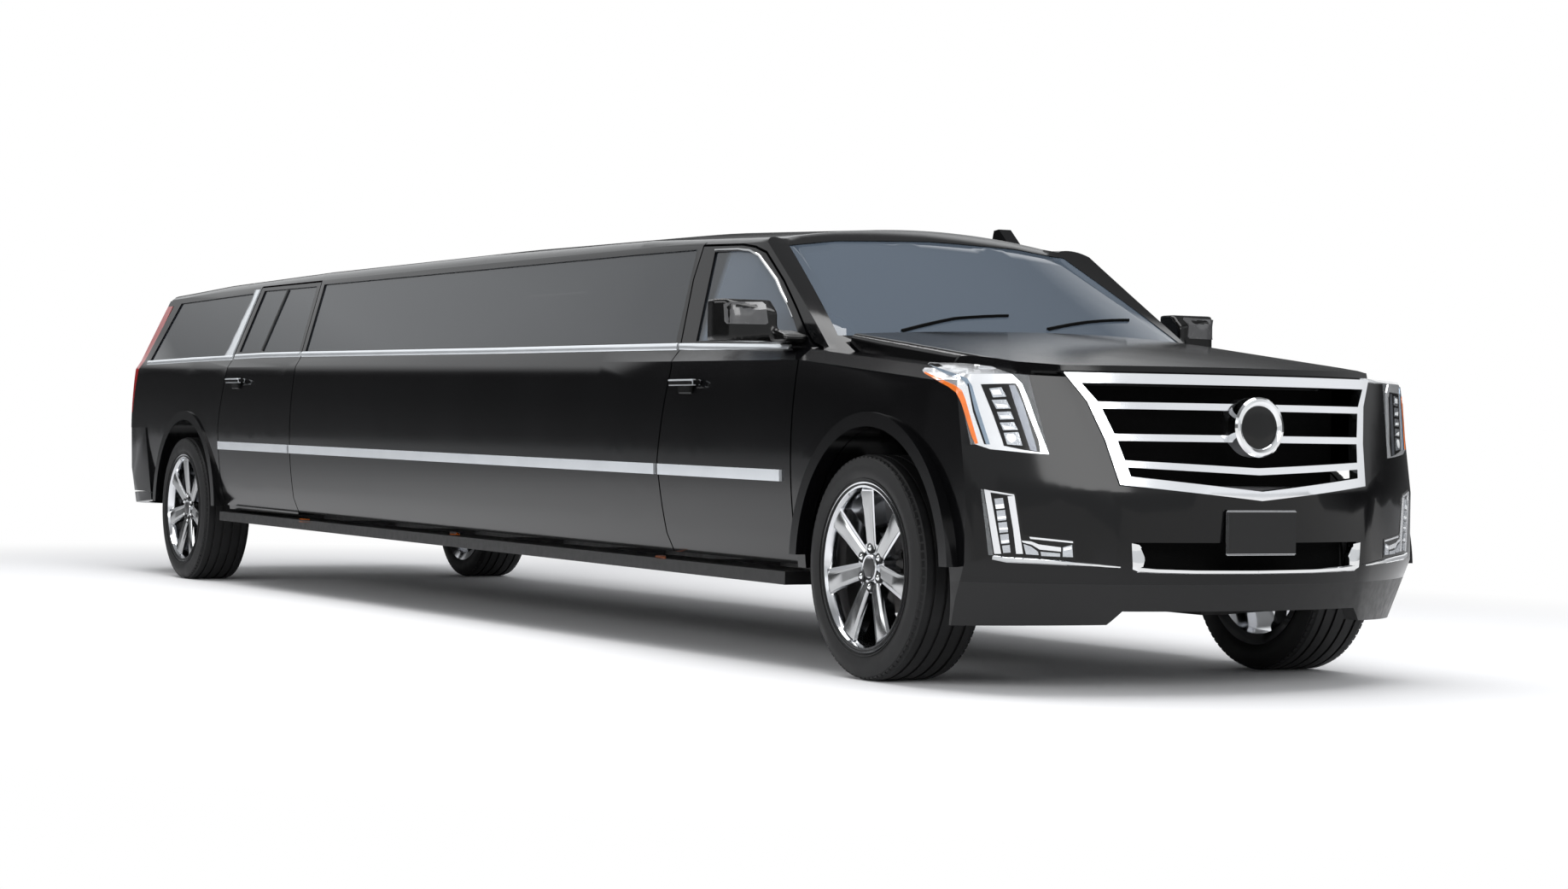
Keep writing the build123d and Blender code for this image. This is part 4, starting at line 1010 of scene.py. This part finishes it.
FOG_LAYERS = {
    "recess": (Surface.GLOSS_BLACK, 0.0016, [
        [(1152, 571), (1190, 577), (1199, 626), (1259, 632.5), (1260, 656), (1190, 652),
         (1164, 651)]]),
    "frame": (Surface.LAMP_FRAME, 0.0040, [
        [(1153, 573), (1160, 574.5), (1173, 648.5), (1165, 648.5)],
        [(1160, 574.3), (1188, 579), (1188.6, 580.8), (1160.5, 576.6)],
        [(1180.5, 581), (1188.6, 580.8), (1196.5, 635), (1198.5, 648.5), (1190.5, 648.5),
         (1187, 620)],
        [(1206, 628.5), (1257, 634), (1257, 636), (1207, 631)],
        [(1197, 633), (1208, 634), (1217, 637.5), (1243, 641), (1243, 646), (1218, 643.5),
         (1209, 638),
         (1198, 635)]]),
    "cells": (Surface.LED, 0.0046, [
        [(1165, 584), (1175, 583), (1177, 595), (1167, 596)],
        [(1167.5, 598), (1177.5, 597), (1179, 609), (1169, 610)],
        [(1169.5, 612), (1179.5, 611), (1181, 623), (1171, 624)],
        [(1171.5, 626), (1181.5, 625), (1182.5, 636), (1173, 637)],
        [(1174, 639), (1183, 638), (1184, 647), (1175.5, 647.5)],
        [(1199, 637), (1208, 640), (1216, 646), (1217, 650), (1202, 649)],
        [(1219, 646), (1242, 648), (1242, 652), (1220, 651)],
        [(1245, 641), (1256, 638), (1257, 652.5), (1245, 652)]]),
    "cores": (Surface.WHITE_LED, 0.0052, [
        [(1166, 591), (1176, 590), (1177, 595), (1167, 596)],
        [(1168.5, 605), (1178.5, 604), (1179, 607), (1169, 608)],
        [(1170.5, 618), (1180.5, 617.5), (1181, 620), (1171, 620.5)],
        [(1173, 633), (1182, 632), (1182.5, 635), (1173.5, 636)],
        [(1246, 642), (1255, 640), (1255.5, 643), (1246, 645)]]),
}


@dataclass
class FrontLamps:
    """Layers of the headlamps and of the fog lamps.

    Attributes:
        headlamp_on: CAD nodes under the headlamp layers.
        fog_on: CAD nodes under the fog lamp layers.
    """

    headlamp_on: tuple[str, ...] = ("headlamps", "fenders", "front_bumper", "grille", "hood")
    fog_on: tuple[str, ...] = ("fog_lamps", "front_bumper")

    def dress(self) -> None:
        """Adds the layers and the bumper's blade on both sides."""
        for name, nodes, layers in (("headlamp", self.headlamp_on, HEADLAMP_LAYERS),
                                    ("fog_lamp", self.fog_on, FOG_LAYERS)):
            skin = Skin(nodes, "view")
            for layer, (surface, lift, outlines) in layers.items():
                meshes = [Plate(outline, lift, 0.004, 7.0).on(skin) for outline in outlines]
                add_pair(f"{name}_{layer}", join(meshes), surface)
        strip = Strip([(1163, 652.5, 0.016), (1180, 655.5, 0.019), (1220, 657.5, 0.018),
                       (1262, 660.5, 0.014), (1312, 664, 0.006)], 0.009, 0.004, 8.0)
        bumper = Skin(("front_bumper", "fog_lamps"), "view")
        add_pair("bumper_blade", strip.on(bumper), Surface.CHROME)


# --------------------------------------------------------------------------- front trim
@dataclass
class GrilleDress:
    """Medallion, black backing and lower opening trim.

    Attributes:
        centre: middle of the medallion, from the front axle.
        radius: outside radius of the chrome drum.
        proud: how far the ring stands ahead of the grille's own disc.
        lean: turn of the medallion's axis from upright to ahead.
        sides: faces around the medallion.
    """

    centre: tuple[float, float, float] = (0.967, 0.0, 0.931)
    radius: float = 0.104
    proud: float = 0.024
    lean: Matrix = field(default_factory=lambda: Matrix.Rotation(math.radians(88), 4, "Y"))
    sides: int = 72

    def medallion(self) -> None:
        """Adds the chrome ring and the plain black disc."""
        x, y, z = self.centre
        place = Matrix.Translation((front(x) + self.proud, y, z)) @ self.lean
        ring = lathe([(self.radius * share, height) for share, height in (
            (0.72, -0.012), (0.72, 0.012), (0.78, 0.019), (0.86, 0.022), (0.95, 0.019),
            (1.01, 0.011), (1.01, -0.030), (0.8, -0.030))], self.sides)
        disc = lathe([(self.radius * share, height) for share, height in (
            (0, 0.0125), (0.40, 0.012), (0.66, 0.010), (0.735, 0.008), (0.735, -0.010),
            (0, -0.010))], self.sides)
        for name, mesh, surface in (("medallion_ring", ring, Surface.CHROME),
                                    ("medallion_disc", disc, Surface.GLOSS_BLACK)):
            mesh.transform(place)
            add_piece(name, mesh, surface)

    def plate(self) -> None:
        """Adds the blank plate with its thin edge, and the black backing of the openings."""
        for name, half, low, high, x, surface in (
                ("plate_edge", 0.150, 0.487, 0.643, 1.026, Surface.SATIN_CHROME),
                ("plate_blank", 0.1482, 0.4888, 0.6412, 1.0285, Surface.SATIN_BLACK)):
            board = slab((front(x - 0.012), -half, low), (front(x), half, high), 0.004)
            add_piece(name, board, surface)
        for name, low, high in (
                ("grille_backing", (front(0.60), -0.62, 0.72), (front(0.615), 0.62, 1.10)),
                ("opening_backing", (front(0.865), -0.46, 0.43), (front(0.875), 0.46, 0.60))):
            add_piece(name, slab(low, high, 0.003), Surface.RADIATOR)

    def opening_trim(self) -> None:
        """Adds the blade under the lower opening and its wedges."""
        skin = Skin(("front_bumper", "front_skirt"), "front")
        half = Strip([(-0.0001, 0.4285, 0.016), (-0.25, 0.430, 0.017), (-0.40, 0.434, 0.018),
                      (-0.468, 0.438, 0.022)], 0.010, 0.006, 0.05)
        add_pair("opening_blade", half.on(skin), Surface.CHROME)
        wedge = [(-0.462, 0.430), (-0.487, 0.440), (-0.492, 0.528), (-0.462, 0.522),
                 (-0.440, 0.480),
                 (-0.446, 0.446)]
        add_pair("opening_wedge", Plate(wedge, 0.011, 0.012, 0.02).on(skin), Surface.CHROME)

    def dress(self) -> None:
        """Adds the front trim."""
        self.medallion()
        self.plate()
        self.opening_trim()


# --------------------------------------------------------------------------- side trim
@dataclass
class SideTrim:
    """Chrome strips, handles and small lamps along the sides."""

    def strips(self) -> None:
        """Adds the belt and window strips; the belt strips are wider than the chrome moulding, and their extra
        width is a painted highlight of the shoulder under the windows.
        """
        cab = Skin(("door_front_right", "glass_front_right", "fixed_glass", "stretch_panels",
                    "roof", "trim_front_right"))
        frame_line = [(front(-0.862), 1.338, 0.013),
                      (front(-1.058), 1.490, 0.013), (front(-1.238), 1.592, 0.012),
                      (front(-1.325), 1.618, 0.011), (front(-1.425), 1.628, 0.009),
                      (front(-1.616), 1.632, 0.008)]
        add_pair("door_glass_chrome", Strip(frame_line, 0.006, 0.010).on(cab), Surface.CHROME,
                 "door_front")
        # The belt strips are wider than the chrome moulding alone: part of their bright band is a painted
        # highlight of the shoulder under the windows.
        belts_and_highlights = (
            ("door_front_belt_and_highlight", "door_front", ("door_front_right", "glass_front_right"),
             [(front(-0.800), 1.2165, 0.028), (front(-1.20), 1.2245, 0.029),
              (front(-1.652), 1.2335, 0.029)]),
            ("door_rear_belt_and_highlight", "door_rear", ("door_rear_right", "glass_rear_right"),
             [(rear(1.780), 1.2690, 0.028), (rear(1.2), 1.2725, 0.028),
              (rear(0.735), 1.2705, 0.028)]),
            ("long_belt_and_highlight", "body", ("stretch_panels", "fixed_glass"),
             [(front(-1.668), 1.2340, 0.029), (front(-3.4), 1.2450, 0.028),
              (rear(1.812), 1.2685, 0.028)]))
        for name, body, nodes, rows in belts_and_highlights:
            add_pair(name, Strip(rows, 0.007, 0.010).on(Skin(nodes)), Surface.TRIM_AND_PAINTED_SHEEN, body)
        rear_side = Skin(("quarter_panels", "fixed_glass", "tail_lamps"))
        # Wider than the moulding alone, like the belts: part of it is a painted shoulder highlight.
        quarter = [(rear(0.700), 1.2655, 0.028), (rear(0.0), 1.2635, 0.028),
                   (rear(-0.84), 1.2560, 0.026)]
        add_pair("quarter_belt_and_highlight", Strip(quarter, 0.007, 0.008).on(rear_side), Surface.TRIM_AND_PAINTED_SHEEN)
        door_pillar = Skin(("door_rear_right", "glass_rear_right", "quarter_panels", "fixed_glass"))
        post = [(rear(0.535), 1.268), (rear(0.682), 1.268), (rear(0.746), 1.650),
                (rear(0.655), 1.650)]
        add_pair("rear_pillar", Plate(post, 0.006, 0.004, 0.03).on(door_pillar), Surface.TRIM_AND_PAINTED_SHEEN)
        bar = Skin(("glass_rear_right", "door_rear_right"))
        divider = [(rear(1.135), 1.298, 0.024), (rear(1.205), 1.634, 0.022)]
        add_pair("door_glass_bar", Strip(divider, 0.008, 0.006).on(bar), Surface.SATIN_BLACK,
                 "door_rear")

    def markers(self) -> None:
        """Adds the amber markers under the sill."""
        skin = Skin(("running_boards",), "view")
        for number, (x, y) in enumerate(((357, 610), (533, 625), (774, 653))):
            corners = [(x - 6, y - 2), (x + 6, y - 1.5), (x + 6, y + 1.5), (x - 6, y + 1)]
            add_pair(f"marker_{number}", Plate(corners, 0.005, 0.004, 4).on(skin), Surface.AMBER)

    def handles(self) -> None:
        """Adds the shaped grips over the plain ones, with a bright upper edge."""
        for end, x, z in (("front", front(-1.433), 1.085), ("rear", rear(0.919), 1.135)):
            grip = slab((x - 0.108, -1.0385, z - 0.0155), (x + 0.108, -0.998, z + 0.0155), 0.007)
            cup = slab((x - 0.065, -1.0150, z - 0.046), (x + 0.050, -0.998, z - 0.010), 0.0055)
            add_pair(f"handle_{end}", join([grip, cup]), Surface.GLOSS_BLACK, f"door_{end}")
            edge = slab((x - 0.104, -1.0405, z + 0.003), (x + 0.104, -1.0300, z + 0.0125), 0.003)
            add_pair(f"handle_edge_{end}", edge, Surface.TRIM_AND_PAINTED_SHEEN, f"door_{end}")

    def dress(self) -> None:
        """Adds the side trim."""
        self.strips()
        self.markers()
        self.handles()


# --------------------------------------------------------------------------- mirrors
@dataclass
class MirrorDress:
    """Rounded mirror housings in place of the plain ones.

    Attributes:
        grain: cell size of the rounding, in metres.
        passes: smoothing passes.
    """

    grain: float = 0.006
    passes: int = 10

    def housing(self, node: str) -> bpy.types.Mesh:
        """Rounds a copy of a mirror's solid.

        Args:
            node: CAD node.

        Returns:
            The rounded mesh.
        """
        source = frame["nodes"][node].data.copy()
        holder = bpy.data.objects.new("housing", source)
        bpy.context.scene.collection.objects.link(holder)
        cells = holder.modifiers.new("cells", "REMESH")
        cells.mode = "VOXEL"
        cells.voxel_size = self.grain
        soft = holder.modifiers.new("soft", "CORRECTIVE_SMOOTH")
        soft.iterations = self.passes
        soft.use_only_smooth = True
        graph = bpy.context.evaluated_depsgraph_get()
        mesh = bpy.data.meshes.new_from_object(holder.evaluated_get(graph))
        bpy.data.objects.remove(holder)
        shade(mesh, 60.0)
        return mesh

    def dress(self) -> None:
        """Adds the housings and their face panels."""
        for side in ("right", "left"):
            node = f"mirror_{side}"
            piece = add_piece(f"mirror_shell_{side}", self.housing(node), Surface.GLOSS_BLACK,
                              f"door_front_{side}")
            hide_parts(node)
        skin = Skin(("mirror_right",), "view")
        panel = [(848, 356), (855, 354), (893, 354), (897, 357), (900, 378), (897, 380), (852, 379),
                 (849, 376)]
        add_pair("mirror_face", Plate(panel, 0.004, 0.006, 12).on(skin), Surface.MIRROR_PANEL,
                 "door_front")


# --------------------------------------------------------------------------- wipers
@dataclass
class Wipers:
    """Two wipers at the foot of the windshield."""

    def dress(self) -> None:
        """Adds the arms."""
        skin = Skin(("fixed_glass", "roof", "cowl"), "top")
        for name, base, elbow, tip in (
                ("driver", (-0.50, 0.10), (-0.60, 0.35), (-0.70, 0.62)),
                ("passenger", (-0.52, -0.55), (-0.58, -0.28), (-0.60, -0.02))):
            rows = [(front(x), y, w) for (x, y), w in ((base, 0.013), (elbow, 0.009), (tip, 0.006))]
            arm = Strip(rows, 0.010, 0.003, 0.05).on(skin)
            add_piece(f"wiper_{name}", arm, Surface.RADIATOR)


# --------------------------------------------------------------------------- tail
@dataclass
class TailDress:
    """Lamp bars, plate recess and badge-free trim of the tail."""

    def dress(self) -> None:
        """Adds the tail pieces."""
        skin = Skin(("tail_lamps", "quarter_panels", "tailgate"), "back")
        bar = Strip([(0.838, 1.02, 0.020), (0.838, 1.30, 0.020), (0.800, 1.56, 0.014)],
                    0.006, 0.004, 0.04)
        add_pair("tail_lamp_bar", bar.on(skin), Surface.CHROME)
        gate = Skin(("tailgate", "tailgate_glass"), "back")
        applique = Strip([(-0.36, 1.16, 0.045), (0.0, 1.165, 0.045), (0.36, 1.16, 0.045)],
                         0.012, 0.004, 0.05)
        add_piece("gate_trim", applique.on(gate), Surface.CHROME, "tailgate")
        recess = [(-0.30, 1.13), (-0.30, 1.00), (0.30, 1.00), (0.30, 1.13)]
        add_piece("gate_plate", Plate(recess, 0.006, 0.004, 0.1).on(gate), Surface.SATIN_BLACK,
                  "tailgate")


# --------------------------------------------------------------------------- seats
@dataclass
class Upholstery:
    """Crowned cushions in place of the plain seat solids.

    Attributes:
        crown: how far a cushion's middle rises over its edge, as a share of its thickness.
        cuts: divisions along each edge.
    """

    crown: float = 0.10
    cuts: int = 7

    def islands(self) -> list[list[Vector]]:
        """Corners of each loose solid of the seats node, in the order of its vertices."""
        form = bmesh.new()
        form.from_mesh(frame["nodes"]["seats"].data)
        bmesh.ops.remove_doubles(form, verts=form.verts, dist=0.0002)
        form.verts.index_update()
        seen: set[int] = set()
        found = []
        for start in form.verts:
            if start.index in seen:
                continue
            seen.add(start.index)
            todo, group = [start], []
            while todo:
                vert = todo.pop()
                group.append(vert.co.copy())
                for edge in vert.link_edges:
                    other = edge.other_vert(vert)
                    if other.index not in seen:
                        seen.add(other.index)
                        todo.append(other)
            found.append(group)
        form.free()
        return found

    def cushion(self, low: Vector, high: Vector) -> bpy.types.Mesh:
        """Crowned form inside a box.

        Args:
            low: lowest corner of the box.
            high: highest corner.

        Returns:
            A closed mesh.
        """
        form = bmesh.new()
        bmesh.ops.create_cube(form, size=2.0)
        bmesh.ops.subdivide_edges(form, edges=form.edges[:], cuts=self.cuts, use_grid_fill=True)
        middle, half = (low + high) / 2, (high - low) / 2
        thin = min(half)
        for vert in form.verts:
            p = vert.co.copy()
            inset = min(0.45, 0.05 / max(thin, 0.05))
            for axis in range(3):
                a, b = (p[(axis + 1) % 3], p[(axis + 2) % 3])
                edge = max(abs(a), abs(b))
                if abs(p[axis]) > 0.999:
                    bulge = self.crown * 0.5 * (a * a + b * b) / 2
                    p[axis] *= 1.0 - inset * edge ** 6 * 0.5 - bulge
            vert.co = Vector((middle[i] + p[i] * half[i] for i in range(3)))
        return finished(form, "cushion", 70.0)

    def dress(self) -> None:
        """Adds the cushions."""
        meshes = []
        for group in self.islands():
            low = Vector(min(p[i] for p in group) for i in range(3))
            high = Vector(max(p[i] for p in group) for i in range(3))
            meshes.append(self.cushion(low, high))
        piece = add_piece("seat_cushions", join(meshes), Surface.LEATHER)
        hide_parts("seats")


# --------------------------------------------------------------------------- studio
SKY_LEVELS = ((0.07, 0.07), (0.13, 0.05), (0.18, 0.10), (0.25, 1.0), (0.46, 1.0), (0.55, 0.14),
              (0.85, 0.30))
FLOOR_SIZE = 60.0


@dataclass
class Studio:
    """Camera, lamps, world and floor.

    Attributes:
        eye: camera place.
        yaw: direction of view from +X toward +Y, in degrees.
        pitch: tilt of the view, in degrees.
        roll: turn about the view, in degrees.
        focal: focal length on the sensor, in millimetres.
        floor_reach: half axes of the floor that keeps the shadow.
        front_card: strength of the white studio wall ahead of the vehicle.
    """

    eye: tuple[float, float, float] = (front(9.95), -6.745, 0.885)
    yaw: float = 151.48
    pitch: float = -0.19
    roll: float = 0.83
    focal: float = 73.1
    floor_reach: tuple[float, float] = (6.6, 4.2)
    front_card: float = 0.75

    def axes(self) -> tuple[Vector, Vector, Vector]:
        """Forward, right and up axes of the view."""
        yaw, pitch, roll = (math.radians(v) for v in (self.yaw, self.pitch, self.roll))
        level = math.cos(pitch)
        forward = Vector((level * math.cos(yaw), level * math.sin(yaw), math.sin(pitch)))
        right = forward.cross(Vector((0, 0, 1))).normalized()
        up = right.cross(forward)
        right_r = math.cos(roll) * right + math.sin(roll) * up
        up_r = -math.sin(roll) * right + math.cos(roll) * up
        return forward, right_r, up_r

    def view_ray(self) -> ViewRay:
        """The view as rays, for pieces laid out as they are seen."""
        forward, right, up = self.axes()
        return ViewRay(Vector(self.eye), forward, right, up, self.focal / SENSOR_WIDTH * VIEW_WIDTH)

    def camera(self) -> None:
        """Sets the camera to the view."""
        forward, right_r, up_r = self.axes()
        data = bpy.data.cameras.new("view")
        data.lens = self.focal
        data.sensor_width = SENSOR_WIDTH
        data.clip_end = 200.0
        camera = bpy.data.objects.new("view", data)
        turn = Matrix((right_r, up_r, -forward)).transposed()
        camera.matrix_world = Matrix.Translation(self.eye) @ turn.to_4x4()
        bpy.context.scene.collection.objects.link(camera)
        bpy.context.scene.camera = camera

    def lamp(self, name: str, place: Sequence[float], aim: Sequence[float],
             size: tuple[float, float], power: float) -> None:
        """Adds a soft rectangular lamp.

        Args:
            name: lamp name.
            place: where it hangs.
            aim: the point that it faces.
            size: width and height in metres.
            power: watts.
        """
        data = bpy.data.lights.new(name, "AREA")
        data.shape = "RECTANGLE"
        data.size, data.size_y = size
        data.energy = power
        lamp = bpy.data.objects.new(name, data)
        lamp.location = place
        lamp.rotation_euler = (Vector(aim) - Vector(place)).to_track_quat("-Z", "Y").to_euler()
        bpy.context.scene.collection.objects.link(lamp)

    def world(self) -> None:
        """White to the eye, a soft studio sky to gloss."""
        world = bpy.data.worlds.new("studio")
        bpy.context.scene.world = world
        world.use_nodes = True
        tree = NodeTree(world.node_tree)
        back = tree.nodes["Background"]
        path = tree.add("ShaderNodeLightPath")
        coords = tree.add("ShaderNodeTexCoord")
        split = tree.add("ShaderNodeSeparateXYZ")
        sky = tree.add("ShaderNodeValToRGB")
        stops = sky.color_ramp.elements
        stops[0].position, stops[0].color = 0.0, (0.12, 0.122, 0.125, 1)
        stops[1].position, stops[1].color = 1.0, (0.45, 0.46, 0.48, 1)
        for place, level in SKY_LEVELS:
            stops.new(place).color = (level * 0.97, level * 0.985, level, 1)
        ahead = tree.add("ShaderNodeMapRange", interpolation_type="SMOOTHSTEP", From_Min=0.25,
                         From_Max=0.75, To_Max=self.front_card)
        card = tree.add("ShaderNodeMix", data_type="RGBA", B=(0.96, 0.98, 1.0, 1))
        mix = tree.add("ShaderNodeMix", data_type="RGBA", B=(1, 1, 1, 1))
        tree.chain((coords, "Generated", split, 0), (split, "Z", sky, "Fac"),
                   (split, "X", ahead, "Value"), (ahead, "Result", card, "Factor"),
                   (sky, "Color", card, "A"), (card, "Result", mix, "A"),
                   (path, "Is Camera Ray", mix, "Factor"), (mix, "Result", back, "Color"))
        back.inputs["Strength"].default_value = 1.0

    def floor(self) -> None:
        """Adds the pale floor, which fades to white away from the vehicle."""
        mesh = bpy.data.meshes.new("floor")
        size = FLOOR_SIZE
        corners = [(-size, -size, 0), (size, -size, 0), (size, size, 0), (-size, size, 0)]
        mesh.from_pydata(corners, [], [(0, 1, 2, 3)])
        floor = bpy.data.objects.new("floor", mesh)
        bpy.context.scene.collection.objects.link(floor)
        tree = MaterialTree("pale_floor")
        tree.shader.inputs["Base Color"].default_value = (0.86, 0.86, 0.87, 1)
        tree.shader.inputs["Roughness"].default_value = 0.65
        tree.shader.inputs["Specular IOR Level"].default_value = 0.2
        coords = tree.coords()
        scale = (1 / self.floor_reach[0], 1 / self.floor_reach[1], 1)
        spread = tree.add("ShaderNodeMapping", Scale=scale)
        length = tree.add("ShaderNodeVectorMath", operation="LENGTH")
        fade = tree.add("ShaderNodeMapRange", interpolation_type="SMOOTHSTEP", From_Min=0.85,
                        From_Max=1.45)
        path = tree.add("ShaderNodeLightPath")
        place = tree.add("ShaderNodeSeparateXYZ")
        ahead = tree.add("ShaderNodeMapRange", interpolation_type="SMOOTHSTEP", From_Min=1.0,
                         From_Max=6.0)
        gloss = tree.add("ShaderNodeMath", operation="MULTIPLY")
        seen = tree.add("ShaderNodeMath", operation="MAXIMUM")
        clear = tree.add("ShaderNodeMath", operation="MAXIMUM")
        share = tree.add("ShaderNodeMath", operation="MULTIPLY")
        white = tree.add("ShaderNodeEmission")
        blend = tree.add("ShaderNodeMixShader")
        tree.chain((coords, "Object", spread, "Vector"), (spread, "Vector", length, "Vector"),
                   (length, "Value", fade, "Value"), (coords, "Object", place, "Vector"),
                   (place, "X", ahead, "Value"), (path, "Is Glossy Ray", gloss, 0),
                   (ahead, "Result", gloss, 1), (path, "Is Camera Ray", seen, 0),
                   (gloss, "Value", seen, 1), (seen, "Value", clear, 0),
                   (path, "Is Transmission Ray", clear, 1), (fade, "Result", share, 0),
                   (clear, "Value", share, 1), (share, "Value", blend, 0),
                   (tree.shader, "BSDF", blend, 1), (white, "Emission", blend, 2),
                   (blend, "Shader", tree.output, "Surface"))
        mesh.materials.append(tree.material)

    def build(self) -> None:
        """Builds the studio."""
        self.camera()
        self.world()
        self.floor()
        self.lamp("overhead", (1.0, -1.0, 7.5), (0.5, 0.0, 0.0), (13.0, 5.0), 900.0)
        self.lamp("front_soft", (13.0, -3.0, 4.5), (4.0, 0.0, 0.8), (5.0, 3.0), 260.0)
        self.lamp("side_soft", (3.0, -11.0, 4.0), (0.0, 0.0, 0.9), (12.0, 2.0), 260.0)


VIEW = Studio().view_ray()


def main() -> None:
    """Builds the studio, dresses the frame and adds the pieces."""
    logging.basicConfig(level=logging.INFO)
    bpy.context.scene.view_settings.view_transform = "Standard"
    Studio().build()
    CadDresser().dress()
    for group in (WheelDress(), FrontLamps(), GrilleDress(), SideTrim(), MirrorDress(), Wipers(),
                  TailDress(), Upholstery()):
        group.dress()


if __name__ == "__main__":
    main()
